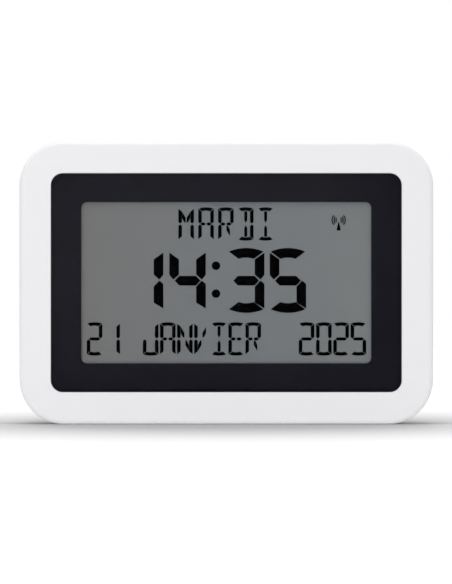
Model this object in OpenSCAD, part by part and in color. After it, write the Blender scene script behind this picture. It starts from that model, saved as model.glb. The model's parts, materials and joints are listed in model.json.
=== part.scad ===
// Large-digit day and date clock: moulded case, segment display, fold-out stand,
// two-cell battery bay with a hinged door and six push buttons on the back.
// Millimetres. X is to the right seen from the front, the front faces -Y, Z is up.

/* [Case] */
// width of the case
body_w = 230; // [200:0.5:260]
// height of the case
body_h = 157.3; // [140:0.1:180]
// depth of the case, front face to back face
body_d = 29; // [29:0.5:36]
// radius of the four case corners
corner_r = 25; // [16:0.5:34]
// side wall of both case halves
wall = 2.2; // [1.8:0.1:3]
// rounding round the front face
front_edge_r = 2.6; // [0.5:0.1:3]
// rounding round the back face
back_edge_r = 3; // [0.5:0.1:4]
// depth of the front housing, up to the parting line
front_d = 19.5; // [17:0.5:21]

/* [Screen] */
// width of the clear lens
lens_w = 194.6; // [185:0.1:200]
// height of the clear lens
lens_h = 121.4; // [112:0.1:126]
// corner radius of the lens
lens_r = 6.6; // [2:0.1:12]
// thickness of the lens
lens_t = 1.8; // [1:0.1:2.4]
// how far the lens lies below the front face
lens_sink = 0.4; // [0:0.1:1]
// width of the window left open in the border print
view_w = 161.1; // [150:0.1:164]
// height of the window left open in the border print
view_h = 89.6; // [80:0.1:92]
// corner radius of that window
view_r = 3.3; // [0.5:0.1:8]

/* [Shown on the display] */
// hours and minutes, four figures
shown_time = "1435"; // 4
// day of the week, up to seven capitals
shown_day = "MARDI"; // 7
// day of the month, two figures
shown_date = "21"; // 2
// month, up to seven capitals
shown_month = "JANVIER"; // 7
// year, four figures
shown_year = "2025"; // 4
// how far every display segment spreads beyond its drawn outline
seg_spread = 0.13; // [0:0.01:0.15]

/* [Stand] */
// height of the stand's hinge axis above the base
hinge_z = 88; // [80:0.5:88]
// length of the leg from its axis to its foot
leg_len = 84; // [70:0.1:84]
// width of the leg
leg_w = 61; // [40:0.5:61]
// radius of the stand's stub axles
axle_r = 1.5; // [1:0.1:1.8]

/* [Batteries] */
// diameter of a cell
cell_d = 14.5; // [13.5:0.1:14.5]
// length of a cell without its button
cell_len = 49.5; // [48:0.1:49.5]
// height of the battery bay's middle above the base
bay_z = 114.3; // [113:0.1:115]

/* [Buttons] */
// radius of a button cap
cap_r = 4; // [3:0.1:4.4]
// distance a button is pushed in
press = 0.5; // [0.2:0.1:0.6]
// middle between the two columns of buttons
keys_x = 70; // [66:0.5:72]
// distance between the two columns
keys_dx = 22; // [18:0.5:24]
// height of the middle row of buttons
keys_z = 48; // [46:0.5:50]
// distance between the rows
keys_dz = 15; // [13:0.5:15]

/* [Wall hanger] */
// radius of the round part of the keyhole
key_r = 4.25; // [3.5:0.05:5]
// width of the keyhole's slot
key_slot = 4.2; // [3.5:0.1:5]
// height of the round part above the base
key_z = 139.7; // [139:0.1:141]

/* [Hidden] */
$fn = 64;
e = 0.05;
yf = -body_d / 2;
yb = body_d / 2;
yp = yf + front_d;
zc = body_h / 2;
// depth positions of the screen stack, front to back
lens_y0 = yf + lens_sink;
lens_y1 = lens_y0 + lens_t;
print_y1 = lens_y1 + 0.1;
tape_y1 = print_y1 + 0.2;
pol_y1 = tape_y1 + 0.2;
glass_y1 = pol_y1 + 0.55;
seg_y1 = glass_y1 + 0.1;
rglass_y1 = seg_y1 + 0.55;
rpol_y1 = rglass_y1 + 0.2;
// the ledge that carries the lens, the holder's plate and its screw lugs
ledge_y1 = tape_y1 + 1;
plate_y1 = rpol_y1 + 3;
lug_y0 = ledge_y1 + 2.2;
holder_y1 = lug_y0 + 3;
pcb_y0 = holder_y1 + 1.6;
pcb_y1 = pcb_y0 + 1.6;
// glass sizes
gx = view_w / 2 + 4.2;
gz0 = zc - view_h / 2 - 4.2;
gz1 = zc + view_h / 2 + 4.2;
gzc = gz0 - 5;
// inner faces of the back wall
yw = yb - 2;
// stand recess
rec_y = yb - 5.5;
hinge_y = yb - 2.8;
rec_x = leg_w / 2 + 1.5;
rec_z0 = 3.4;
rec_z1 = hinge_z + 4.6;
// battery bay
bay_x = 28.6;
bay_h = 15.3;
bay_floor = yb - 18.1;
cell_y = bay_floor + 0.3 + cell_d / 2;
cell_z1 = bay_z - 7.5;
cell_z2 = bay_z + 7.5;
door_x = 31;
door_h = 17;
door_y0 = yb - 1.8;
pin_y = yb - 1.9;
pin_z = bay_z - door_h + 1.9;
pin_r = 1.2;
// buttons
sw_y1 = pcb_y1 + 3.5;
plunger_y1 = sw_y1 + 0.5 + press;
panel_y = yb - 1;
cap_y1 = yb - 0.2;
boss_x = body_w / 2 - 14;
boss_z = 15.5;
lug_x = view_w / 2 + 10.95;
board_pts = [[-80, 26], [80, 26], [-80, 69.5], [80, 69.5], [-27, 35], [27, 35]];
holder_pts = [for (x = [-lug_x, lug_x], z = [-54.25, 0, 54.25]) [x, zc + z]];
function key_pos(i) = [keys_x + (i % 2 == 0 ? 1 : -1) * keys_dx / 2, keys_z + (1 - floor(i / 2)) * keys_dz];

// ---------- helpers ----------

// a flat outline drawn in X and Z, given depth from y0 to y1
module slab(y0, y1) {
    translate([0, y1, 0])
        rotate([90, 0, 0])
            linear_extrude(y1 - y0)
                children();
}

// a round bar or hole along Y
module bar_y(x, z, y0, y1, r) {
    translate([x, y1, z])
        rotate([90, 0, 0])
            cylinder(h = y1 - y0, r = r);
}

// a round bar or hole along X, centred on x
module bar_x(x, y, z, len, r) {
    translate([x, y, z])
        rotate([0, 90, 0])
            cylinder(h = len, r = r, center = true);
}

// a box from its two corners
module block(a, b) {
    translate(a)
        cube(b - a);
}

// rectangle with round corners about a centre
module round_rect(w, h, r, cz = 0) {
    translate([0, cz]) {
        square([w - 2 * r, h], center = true);
        square([w, h - 2 * r], center = true);
        for (sx = [-1, 1], sz = [-1, 1])
            translate([sx * (w / 2 - r), sz * (h / 2 - r)])
                circle(r);
    }
}

// section of the case from its corner axis outwards, f0 and f1 round its two rims
module rim_section(r, d, f0, f1) {
    translate([0, f0])
        square([r, d - f0 - f1]);
    square([r - f0, d / 2]);
    translate([0, d / 2])
        square([r - f1, d / 2]);
    if (f0 > 0)
        translate([r - f0, f0])
            circle(f0);
    if (f1 > 0)
        translate([r - f1, d - f1])
            circle(f1);
}

// case solid between y0 and y1, rims rounded ff in front and fb behind
module case_solid(w, h, r, y0, y1, ff, fb) {
    d = y1 - y0;
    translate([0, y1, zc])
        rotate([90, 0, 0]) {
            for (sx = [-1, 1], sz = [-1, 1])
                translate([sx * (w / 2 - r), sz * (h / 2 - r), 0])
                    rotate_extrude()
                        intersection() {
                            rim_section(r, d, fb, ff);
                            square([r, d]);
                        }
            for (sx = [0, 180])
                rotate([0, 0, sx])
                    translate([w / 2 - r, h / 2 - r, 0])
                        rotate([90, 0, 0])
                            linear_extrude(h - 2 * r)
                                rim_section(r, d, fb, ff);
            for (sz = [90, 270])
                rotate([0, 0, sz])
                    translate([h / 2 - r, w / 2 - r, 0])
                        rotate([90, 0, 0])
                            linear_extrude(w - 2 * r)
                                rim_section(r, d, fb, ff);
            translate([-(w / 2 - r) - 1, -(h / 2 - r) - 1, 0])
                cube([w - 2 * r + 2, h - 2 * r + 2, d]);
        }
}

// insulated wire through a list of points
module wire(pts, r) {
    for (p = pts)
        translate(p)
            sphere(r * 1.1, $fn = 24);
    for (i = [0 : len(pts) - 2]) {
        v = pts[i + 1] - pts[i];
        translate(pts[i])
            rotate([0, acos(v[2] / norm(v)), atan2(v[1], v[0])])
                cylinder(h = norm(v), r = r, $fn = 24);
    }
}

// cross-recessed pan-head screw along Y, its head towards the back
module screw(x, z, y_seat, len, r, head_r, head_h) {
    difference() {
        union() {
            bar_y(x, z, y_seat - len, y_seat + e, r);
            translate([x, y_seat, z])
                rotate([-90, 0, 0])
                    rotate_extrude()
                        polygon([[0, 0], [head_r, 0], [head_r, head_h - 0.7],
                            [head_r - 0.3, head_h - 0.25], [head_r - 0.9, head_h], [0, head_h]]);
        }
        for (a = [0, 90])
            translate([x, y_seat + head_h, z])
                rotate([0, a + 20, 0])
                    cube([head_r * 1.1, 1.6, head_r * 0.22], center = true);
    }
}

// ---------- segment figures ----------

// twice the area of a polygon, positive where its points run anticlockwise
function turn(p, i = 0) = i == len(p) ? 0 : cross(p[i], p[(i + 1) % len(p)]) + turn(p, i + 1);

// unit vector square to the edge from a to b
function outward(a, b, s) = s * [(b - a)[1], -(b - a)[0]] / norm(b - a);

// a polygon's points with each edge moved outwards by d
function grown(p, d) = [
    for (i = [0 : len(p) - 1])
        let (
            s = sign(turn(p)),
            before = outward(p[(i + len(p) - 1) % len(p)], p[i], s),
            after = outward(p[i], p[(i + 1) % len(p)], s)
        )
        p[i] + d * (before + after) / (1 + before * after)
];

module segment(p) {
    polygon(grown(p, seg_spread));
}

// big seven-segment figure, w wide and h high, lower left corner at the origin
dig_w = 20;
dig_h = 35.85;

module arched_bar(w, h, tip, tip_drop, inner, inner_drop, s) {
    n = 8;
    outer_pts = [for (i = [0 : n]) [tip + (w - 2 * tip) * i / n, h - tip_drop * pow(2 * i / n - 1, 2)]];
    inner_pts = [for (i = [0 : n]) [w - inner - (w - 2 * inner) * i / n,
        h - s - (inner_drop - s) * pow(2 * i / n - 1, 2)]];
    segment(concat(outer_pts, inner_pts));
}

module mirror_if(on, w) {
    translate([on ? w : 0, 0])
        mirror([on ? 1 : 0, 0])
            children();
}

module flip_if(on, h) {
    translate([0, on ? h : 0])
        mirror([0, on ? 1 : 0])
            children();
}

module big_segment(c) {
    w = dig_w;
    h = dig_h;
    if (c == "a" || c == "d")
        flip_if(c == "d", h)
            arched_bar(w, h, 0.6, 1.9, 5.8, 5.8, 5.1);
    if (c == "f" || c == "b")
        mirror_if(c == "b", w)
            segment([[0, h - 2.7], [5.1, h - 6.3], [5.1, h - 14.6], [2.1, h - 17.25], [0, h - 14.8]]);
    if (c == "e" || c == "c")
        mirror_if(c == "c", w)
            segment([[0, h - 19.95], [2.1, h - 18.2], [5.1, h - 21.4], [5.1, h - 30.2], [0, h - 33.3]]);
    if (c == "g")
        segment([[3, h - 18.05], [5.4, h - 15.55], [14.6, h - 15.55], [17, h - 18.05],
            [14.6, h - 20.6], [5.4, h - 20.6]]);
}

function big_code(c) =
    c == "0" ? "abcdef" : c == "1" ? "bc" : c == "2" ? "abged" : c == "3" ? "abgcd" :
    c == "4" ? "fgbc" : c == "5" ? "afgcd" : c == "6" ? "afgecd" : c == "7" ? "abc" :
    c == "8" ? "abcdefg" : c == "9" ? "abcdfg" : "";

module big_figure(c) {
    code = big_code(c);
    for (i = [0 : 1 : len(code) - 1])
        big_segment(code[i]);
}

// small fourteen-segment figure or letter
glyph_w = 8.4;
glyph_h = 18.3;

module small_segment(c) {
    w = glyph_w;
    h = glyph_h;
    m = h / 2;
    s = 1.72;
    if (c == "a" || c == "d")
        flip_if(c == "d", h)
            arched_bar(w, h, 0.45, 0.6, 2, 2, 1.6);
    if (c == "f" || c == "b" || c == "e" || c == "c")
        flip_if(c == "e" || c == "c", h)
            mirror_if(c == "b" || c == "c", w)
                segment([[0, h - 0.95], [s, h - 2.35], [s, m + 1.2], [s / 2, m + 0.4], [0, m + 1.2]]);
    if (c == "g" || c == "k")
        mirror_if(c == "k", w)
            segment([[1.2, m], [2.05, m + 0.72], [3.1, m + 0.72], [3.9, m],
                [3.1, m - 0.72], [2.05, m - 0.72]]);
    if (c == "p")
        segment([[1.2, m], [2.05, m + 0.72], [w - 2.05, m + 0.72], [w - 1.2, m],
            [w - 2.05, m - 0.72], [2.05, m - 0.72]]);
    if (c == "i" || c == "l")
        flip_if(c == "l", h)
            segment([[w / 2 - 0.7, h - 2.2], [w / 2 + 0.7, h - 2.2], [w / 2 + 0.7, m + 2.4],
                [w / 2, m + 0.85], [w / 2 - 0.7, m + 2.4]]);
    if (c == "h" || c == "j" || c == "m" || c == "n")
        flip_if(c == "m" || c == "n", h)
            mirror_if(c == "j" || c == "n", w)
                segment([[s + 0.35, h - 2.9], [s + 0.35, h - 5.9], [w / 2 - 1, m + 1.1],
                    [w / 2 - 0.4, m + 0.9], [w / 2 - 0.4, m + 3.4]]);
}

function small_code(c) =
    c == "0" ? "abcdef" : c == "1" ? "bc" : c == "2" ? "abped" : c == "3" ? "abpcd" :
    c == "4" ? "fpbc" : c == "5" ? "afpcd" : c == "6" ? "afpecd" : c == "7" ? "abc" :
    c == "8" ? "abcdefp" : c == "9" ? "abcdfp" : c == "A" ? "abcefgk" : c == "B" ? "abcdilk" :
    c == "C" ? "adef" : c == "D" ? "abcdil" : c == "E" ? "adefgk" : c == "F" ? "aefg" :
    c == "G" ? "acdefk" : c == "H" ? "bcefgk" : c == "I" ? "adil" : c == "J" ? "bcde" :
    c == "K" ? "efgjn" : c == "L" ? "def" : c == "M" ? "bcefhj" : c == "N" ? "bcefhn" :
    c == "O" ? "abcdef" : c == "P" ? "abefgk" : c == "Q" ? "abcdefn" : c == "R" ? "abefgkn" :
    c == "S" ? "acdfgk" : c == "T" ? "ail" : c == "U" ? "bcdef" : c == "V" ? "efjm" :
    c == "W" ? "bcefmn" : c == "X" ? "hjmn" : c == "Y" ? "hjl" : c == "Z" ? "adjm" : "";

module small_figure(c) {
    code = small_code(c);
    for (i = [0 : 1 : len(code) - 1])
        small_segment(code[i]);
}

// a row of small figures from its left edge
module small_row(s, x0, pitch, z0) {
    for (i = [0 : 1 : len(s) - 1])
        translate([x0 + i * pitch, z0])
            small_figure(s[i]);
}

// ---------- case ----------

module front_housing() {
    color([0.92, 0.92, 0.93])
        difference() {
            union() {
                difference() {
                    case_solid(body_w, body_h, corner_r, yf, yp, front_edge_r, 0);
                    slab(yf + 2.2, yp + 1)
                        round_rect(body_w - 2 * wall, body_h - 2 * wall, corner_r - wall, zc);
                }
                slab(yf + 2.1, ledge_y1)
                    round_rect(lens_w + 4.5, lens_h + 4.5, lens_r + 2.25, zc);
                for (sx = [-1, 1], z = [boss_z, body_h - boss_z])
                    bar_y(sx * boss_x, z, yf + 2, yp - 0.2, 3.75);
                for (p = holder_pts)
                    bar_y(p[0], p[1], ledge_y1 - e, lug_y0, 3);
            }
            slab(yf - 1, tape_y1)
                round_rect(lens_w + 0.24, lens_h + 0.24, lens_r + 0.12, zc);
            slab(yf - 1, ledge_y1 + 1)
                round_rect(2 * gx + 0.6, gz1 - gzc + 0.6, 0.5, (gz1 + gzc) / 2);
            for (sx = [-1, 1], z = [boss_z, body_h - boss_z])
                bar_y(sx * boss_x, z, yp - 12, yp + 1, 1.15);
            for (p = holder_pts)
                bar_y(p[0], p[1], tape_y1 + 0.7, lug_y0 + 1, 0.95);
        }
}

// marks moulded beside the buttons, one plain sign each
module key_sign(i) {
    if (i == 0) {
        difference() {
            circle(1.9);
            circle(1.45);
        }
        translate([-0.2, -0.2])
            square([0.4, 1.35]);
        translate([-0.2, -0.2])
            square([1.1, 0.4]);
    }
    if (i == 1 || i == 2)
        square([3.4, 0.7], center = true);
    if (i == 1)
        square([0.7, 3.4], center = true);
    if (i == 3) {
        difference() {
            circle(1.9);
            circle(1.5);
        }
        square([3.6, 0.35], center = true);
        square([0.35, 3.6], center = true);
    }
    if (i == 4)
        difference() {
            square([4.2, 3], center = true);
            translate([-1, 0])
                square([1.3, 2.2], center = true);
            translate([1, 0])
                square([1.3, 2.2], center = true);
        }
    if (i == 5) {
        translate([-0.2, -1.9])
            square([0.4, 2.2]);
        for (r = [1, 2])
            intersection() {
                difference() {
                    circle(r);
                    circle(r - 0.4);
                }
                polygon([[0, 0], [-3, 3], [3, 3]]);
            }
    }
}

module keyhole() {
    translate([0, key_z])
        circle(key_r);
    translate([-key_slot / 2, key_z])
        square([key_slot, 7.4]);
    translate([0, key_z + 7.4])
        circle(key_slot / 2);
}

module rear_cover() {
    panel_w = keys_dx + 22;
    panel_h = 2 * keys_dz + 22;
    color([0.92, 0.92, 0.93])
        difference() {
            union() {
                difference() {
                    case_solid(body_w, body_h, corner_r, yp, yb, 0, back_edge_r);
                    slab(yp - 1, yw)
                        round_rect(body_w - 2 * wall, body_h - 2 * wall, corner_r - wall, zc);
                    slab(yp - 1, yp + 0.5)
                        difference() {
                            square([body_w * 2, body_h * 3], center = true);
                            round_rect(body_w - 0.8, body_h - 0.8, corner_r - 0.4, zc);
                        }
                }
                // tongue that locates the front housing
                slab(yp - 2.2, yp + 2.5)
                    difference() {
                        round_rect(body_w - 4.7, body_h - 4.7, corner_r - 2.35, zc);
                        round_rect(body_w - 7.1, body_h - 7.1, corner_r - 3.55, zc);
                    }
                slab(yp + 0.5, yp + 2.5)
                    difference() {
                        round_rect(body_w - 4, body_h - 4, corner_r - 2, zc);
                        round_rect(body_w - 7.1, body_h - 7.1, corner_r - 3.55, zc);
                    }
                // stand recess box with its two axle blocks
                block([-rec_x - 1.6, rec_y - 1.5, wall - 0.2], [rec_x + 1.6, yw + e, rec_z1 + 1.5]);
                for (sx = [-1, 1])
                    translate([sx * (rec_x + 1.7), (rec_y - 1.5 + yb) / 2, hinge_z])
                        cube([3.4, yb - rec_y + 1.5, 9.2], center = true);
                // battery bay and the seat round it
                block([-bay_x - 2, bay_floor - 1.6, bay_z - bay_h - 2],
                    [bay_x + 2, yw + e, bay_z + bay_h + 2]);
                block([-33.6, yb - 4.2, bay_z - 19.7], [33.6, yw + e, bay_z + 19.7]);
                // keyhole pocket
                block([-8, yw - 5.7, key_z - 5.7], [8, yw + e, key_z + 11]);
                // button panel
                slab(yb - 3, yw + e)
                    translate([keys_x, 0])
                        round_rect(panel_w + 4, panel_h + 4, 6, keys_z - 2);
                // screw towers
                for (sx = [-1, 1], z = [boss_z, body_h - boss_z])
                    bar_y(sx * boss_x, z, yp - 0.1, yw + e, 4.8);
            }
            // stand recess, open to the back
            block([-rec_x, rec_y, rec_z0], [rec_x, yb + 1, rec_z1]);
            for (sx = [-1, 1])
                bar_x(sx * (rec_x + 1.3), hinge_y, hinge_z, 2.8, axle_r + 0.05);
            // battery bay
            block([-bay_x, bay_floor, bay_z - bay_h], [bay_x, yb + 1, bay_z + bay_h]);
            block([-door_x - 0.25, door_y0 - 0.1, bay_z - door_h - 0.25],
                [door_x + 0.25, yb + 1, bay_z + door_h + 0.25]);
            bar_x(0, pin_y, pin_z, 2 * door_x + 0.5, 2.2);
            bar_x(0, pin_y, pin_z, 2 * door_x + 3.6, pin_r + 0.05);
            block([-5.6, yb - 3.8, bay_z + 13], [5.6, door_y0 - e, bay_z + 17.6]);
            bar_y(0, bay_z + 8, yb - 0.8, yb + 1, 12);
            // ways out for the contact tails
            for (z = [cell_z1, cell_z2])
                block([bay_x - 1, 8.4, z - 1.8], [bay_x + 3, 10, z + 1.8]);
            // keyhole with its pocket
            slab(yw - 1, yb + 1)
                keyhole();
            block([-6.6, yw - 4.5, key_z - 4.5], [6.6, yw, key_z + 9.8]);
            // button panel and holes
            slab(panel_y, yb + 1)
                translate([keys_x, 0])
                    round_rect(panel_w, panel_h, 4, keys_z - 2);
            for (i = [0 : 5])
                bar_y(key_pos(i)[0], key_pos(i)[1], yb - 4, yb + 1, cap_r + 0.3);
            // screw wells
            for (sx = [-1, 1], z = [boss_z, body_h - boss_z]) {
                bar_y(sx * boss_x, z, yp - 1, yb + 1, 1.5);
                bar_y(sx * boss_x, z, yp + 3.2, yb + 1, 3.3);
            }
        }
    color([0.92, 0.92, 0.93]) {
        // ridge between the cells
        block([-26, bay_floor - e, bay_z - 1.3], [26, bay_floor + 2.4, bay_z + 1.3]);
        // signs under the buttons, each mirrored to read from behind
        for (i = [0 : 5])
            slab(panel_y - e, panel_y + 0.3)
                translate([key_pos(i)[0], key_pos(i)[1] - 7])
                    mirror([1, 0])
                        key_sign(i);
    }
}

// ---------- screen ----------

module screen_lens() {
    color([0.9, 0.93, 0.95])
        case_solid(lens_w, lens_h, lens_r, lens_y0, lens_y1, 0.3, 0);
}

module lens_border_print() {
    color([0.05, 0.05, 0.06])
        slab(lens_y1, print_y1)
            difference() {
                round_rect(lens_w - 0.2, lens_h - 0.2, lens_r - 0.1, zc);
                round_rect(view_w, view_h, view_r, zc);
            }
}

module lens_tape() {
    color([0.1, 0.1, 0.1])
        slab(print_y1, tape_y1)
            difference() {
                round_rect(lens_w - 3, lens_h - 3, lens_r - 1.5, zc);
                round_rect(view_w + 3, view_h + 3, view_r + 1.5, zc);
            }
}

module glass_pane(x, z0, z1, y0, y1) {
    block([-x, y0, z0], [x, y1, z1]);
}

module lcd_front_polariser() {
    color([0.5, 0.51, 0.5])
        glass_pane(gx - 0.7, gz0 + 0.4, gz1 - 0.6, tape_y1, pol_y1);
}

module lcd_front_glass() {
    color([0.8, 0.86, 0.84])
        glass_pane(gx, gzc, gz1, pol_y1, glass_y1);
}

module lcd_seal() {
    color([0.25, 0.25, 0.26])
        slab(glass_y1, seg_y1)
            difference() {
                round_rect(2 * gx - 0.4, gz1 - gz0 - 0.4, 1.5, zc);
                round_rect(2 * gx - 3.2, gz1 - gz0 - 3.2, 1, zc);
            }
}

module lcd_weekday_segments() {
    pitch = 11.04;
    span = (len(shown_day) - 1) * pitch + glyph_w;
    color([0.02, 0.02, 0.03])
        slab(glass_y1, seg_y1)
            small_row(shown_day, -span / 2 - 0.2, pitch, zc + 23.5);
}

module lcd_time_segments() {
    xs = [-55.1, -31.5, 1.1, 24.3];
    color([0.02, 0.02, 0.03])
        slab(glass_y1, seg_y1) {
            for (i = [0 : 3])
                translate([xs[i], zc - 16.65])
                    big_figure(shown_time[i]);
            for (z = [9.45, -6.05])
                translate([-5.7, zc + z])
                    circle(2.25 + seg_spread);
        }
}

module lcd_date_segments() {
    color([0.02, 0.02, 0.03])
        slab(glass_y1, seg_y1) {
            small_row(shown_date, -77.4, 9.8, zc - 40.4);
            small_row(shown_month, -46.2, 9.5, zc - 40.4);
            small_row(shown_year, 40.45, 9.6, zc - 40.4);
        }
}

module lcd_signal_icon() {
    color([0.02, 0.02, 0.03])
        slab(glass_y1, seg_y1)
            translate([62.5, zc + 34.85]) {
                polygon([[-0.25, -1.3], [0.25, -1.3], [0.8, -3.9], [1.2, -5.8],
                    [-1.2, -5.8], [-0.8, -3.9]]);
                for (r = [1.8, 2.85, 4], side = [-1, 1])
                    intersection() {
                        difference() {
                            circle(r);
                            circle(r - 0.65);
                        }
                        polygon([[0, 0], [side * 6, 6], [side * 6, -6]]);
                    }
            }
}

module lcd_rear_glass() {
    color([0.8, 0.86, 0.84])
        glass_pane(gx, gz0, gz1, seg_y1, rglass_y1);
}

module lcd_rear_polariser() {
    color([0.46, 0.47, 0.46])
        glass_pane(gx - 0.7, gz0 + 0.6, gz1 - 0.6, rglass_y1, rpol_y1);
}

module lcd_holder() {
    hx = gx + 2.5;
    hz0 = gzc - 2.3;
    hz1 = gz1 + 2.3;
    color([0.85, 0.85, 0.83])
        difference() {
            union() {
                block([-hx, ledge_y1 + 0.05, hz0], [hx, plate_y1, hz1]);
                for (p = holder_pts) {
                    bar_y(p[0], p[1], lug_y0 + 0.05, holder_y1, 3.5);
                    block([min(p[0], sign(p[0]) * (hx - 1)), lug_y0 + 0.05, p[1] - 3.5],
                        [max(p[0], sign(p[0]) * (hx - 1)), holder_y1, p[1] + 3.5]);
                }
                for (p = board_pts)
                    bar_y(p[0], p[1], plate_y1 - e, pcb_y0, 2.6);
            }
            block([-gx - 0.3, ledge_y1 - 1, gzc - 0.3], [gx + 0.3, rpol_y1, gz1 + 0.3]);
            block([-76.2, rpol_y1 - 1, gzc + 0.9], [76.2, plate_y1 + 1, gzc + 3.9]);
            for (p = holder_pts)
                bar_y(p[0], p[1], rpol_y1 - 1, holder_y1 + 1, 1.3);
            for (p = board_pts)
                bar_y(p[0], p[1], rpol_y1 + 0.6, pcb_y0 + 1, 0.95);
        }
}

module zebra_strip() {
    color([0.9, 0.75, 0.78])
        block([-75.5, glass_y1, gzc + 1.2], [75.5, pcb_y0, gzc + 3.6]);
}

// ---------- electronics ----------

module main_board() {
    color([0.12, 0.35, 0.18])
        difference() {
            slab(pcb_y0, pcb_y1)
                round_rect(168, 50.2, 1.5, 47.9);
            for (p = board_pts)
                bar_y(p[0], p[1], pcb_y0 - 1, pcb_y1 + 1, 1.3);
        }
}

module controller_blob() {
    color([0.05, 0.05, 0.05])
        translate([0, pcb_y1, 52])
            rotate([-90, 0, 0])
                rotate_extrude()
                    intersection() {
                        translate([0, -26.4])
                            circle(28.6, $fn = 240);
                        square([12, 3]);
                    }
}

module clock_crystal() {
    color([0.75, 0.76, 0.78]) {
        translate([18, pcb_y1 + 1.05, 50])
            cylinder(h = 6, r = 1);
        for (sx = [-0.4, 0.4]) {
            translate([18 + sx, pcb_y1 + 1.05, 48.2])
                cylinder(h = 1.9, r = 0.18, $fn = 16);
            bar_y(18 + sx, 48.3, pcb_y1, pcb_y1 + 1.15, 0.18);
        }
    }
}

module board_components() {
    color([0.25, 0.22, 0.2]) {
        for (p = [[-20, 62], [-12, 64], [-4, 66], [12, 66], [22, 60], [30, 64],
            [-60, 40], [-52, 40], [36, 44]])
            block([p[0] - 1, pcb_y1, p[1] - 0.6], [p[0] + 1, pcb_y1 + 0.6, p[1] + 0.6]);
        for (p = [[-44, 60], [-66, 60]])
            bar_y(p[0], p[1], pcb_y1, pcb_y1 + 6.5, 2.5);
        block([-60, pcb_y1, 50], [-55, pcb_y1 + 1.6, 56]);
    }
}

module tact_switches() {
    color([0.15, 0.15, 0.16])
        for (i = [0 : 5]) {
            x = key_pos(i)[0];
            z = key_pos(i)[1];
            difference() {
                union() {
                    block([x - 3, pcb_y1, z - 3], [x + 3, sw_y1, z + 3]);
                    for (sx = [-1, 1], sz = [-1, 1])
                        translate([x + sx * 3.6, pcb_y1 + 0.15, z + sz * 2.2])
                            cube([1.6, 0.3, 0.7], center = true);
                }
                bar_y(x, z, sw_y1 - 1.2, sw_y1 + 1, 1.95);
            }
        }
}

module radio_module() {
    color([0.1, 0.25, 0.5]) {
        block([-72, -5.05, 80], [-50, -4.05, 96]);
        block([-64, -4.05, 86], [-58, -2.85, 90]);
        translate([-69, -2.95, 92])
            rotate([0, 90, 0])
                cylinder(h = 6, r = 1);
        block([-69.4, -4.05, 91.5], [-62.6, -3.5, 92.5]);
    }
}

module module_pad() {
    color([0.95, 0.95, 0.9])
        block([-70, plate_y1, 82], [-52, -5.05, 94]);
}

ant_z = 147;
ant_y = 0;

module antenna_rod() {
    color([0.12, 0.12, 0.13])
        translate([-88, ant_y, ant_z])
            rotate([0, 90, 0])
                cylinder(h = 60, r = 4);
}

module antenna_coil() {
    color([0.72, 0.38, 0.18])
        difference() {
            translate([-72, ant_y, ant_z])
                rotate([0, 90, 0]) {
                    cylinder(h = 28, r = 5);
                    cylinder(h = 1, r = 5.3);
                    translate([0, 0, 27])
                        cylinder(h = 1, r = 5.3);
                }
            translate([-73, ant_y, ant_z])
                rotate([0, 90, 0])
                    cylinder(h = 30, r = 4.05);
        }
}

module antenna_holders() {
    color([0.85, 0.85, 0.83])
        for (x = [-85, -35])
            difference() {
                block([x, yf + 2.25, 142.4], [x + 4, 3, 151.6]);
                translate([x - 1, ant_y, ant_z])
                    rotate([0, 90, 0])
                        cylinder(h = 6, r = 4.05);
                block([x - 1, ant_y, ant_z - 3.4], [x + 5, 4, ant_z + 3.4]);
            }
}

module radio_leads() {
    color([0.75, 0.45, 0.2]) {
        wire([[-46, -4.9, 145], [-50, -4.6, 122], [-54, -3.6, 94.5]], 0.4);
        wire([[-69, -4.9, 145], [-62, -4.6, 122], [-57, -3.6, 94.5]], 0.4);
        wire([[-68, -3.6, 81.5], [-67, -1.5, 76], [-66, pcb_y1 + 0.45, 71]], 0.4);
        wire([[-64, -3.6, 81.5], [-63, -1.5, 76], [-62, pcb_y1 + 0.45, 71]], 0.4);
    }
}

// ---------- battery bay ----------

module cell() {
    rotate([0, 90, 0])
        rotate_extrude() {
            translate([0, 0.3])
                square([cell_d / 2, cell_len - 0.9]);
            square([cell_d / 2 - 0.5, cell_len - 0.2]);
            square([2.75, cell_len + 1]);
        }
}

module battery_1() {
    color([0.2, 0.35, 0.6])
        translate([-24.8, cell_y, cell_z1])
            cell();
}

module battery_2() {
    color([0.2, 0.35, 0.6])
        translate([24.8, cell_y, cell_z2])
            rotate([0, 0, 180])
                cell();
}

// conical spring wound from round wire, from its plate towards the cell
module contact_spring() {
    turns = 3;
    steps = 48;
    sides = 8;
    wire_r = 0.3;
    height = 3.26;
    function centre_r(i) = 3.9 - 1.4 * i / steps;
    function centre_x(i) = wire_r + (height - 2 * wire_r) * i / steps;
    ring_pts = [for (i = [0 : steps], k = [0 : sides - 1])
        let (a = 360 * turns * i / steps, b = 360 * k / sides, r = centre_r(i) + wire_r * cos(b))
            [centre_x(i) + wire_r * sin(b), r * cos(a), r * sin(a)]];
    walls = [for (i = [0 : steps - 1], k = [0 : sides - 1])
        let (n = (k + 1) % sides)
            [i * sides + k, i * sides + n, (i + 1) * sides + n, (i + 1) * sides + k]];
    ends = [[for (k = [sides - 1 : -1 : 0]) k], [for (k = [0 : sides - 1]) steps * sides + k]];
    polyhedron(ring_pts, concat(walls, ends), convexity = 6);
}

module battery_contact_springs() {
    color([0.8, 0.8, 0.82]) {
        translate([-28.12, cell_y, cell_z1])
            contact_spring();
        translate([28.12, cell_y, cell_z2])
            rotate([0, 0, 180])
                contact_spring();
    }
}

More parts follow.
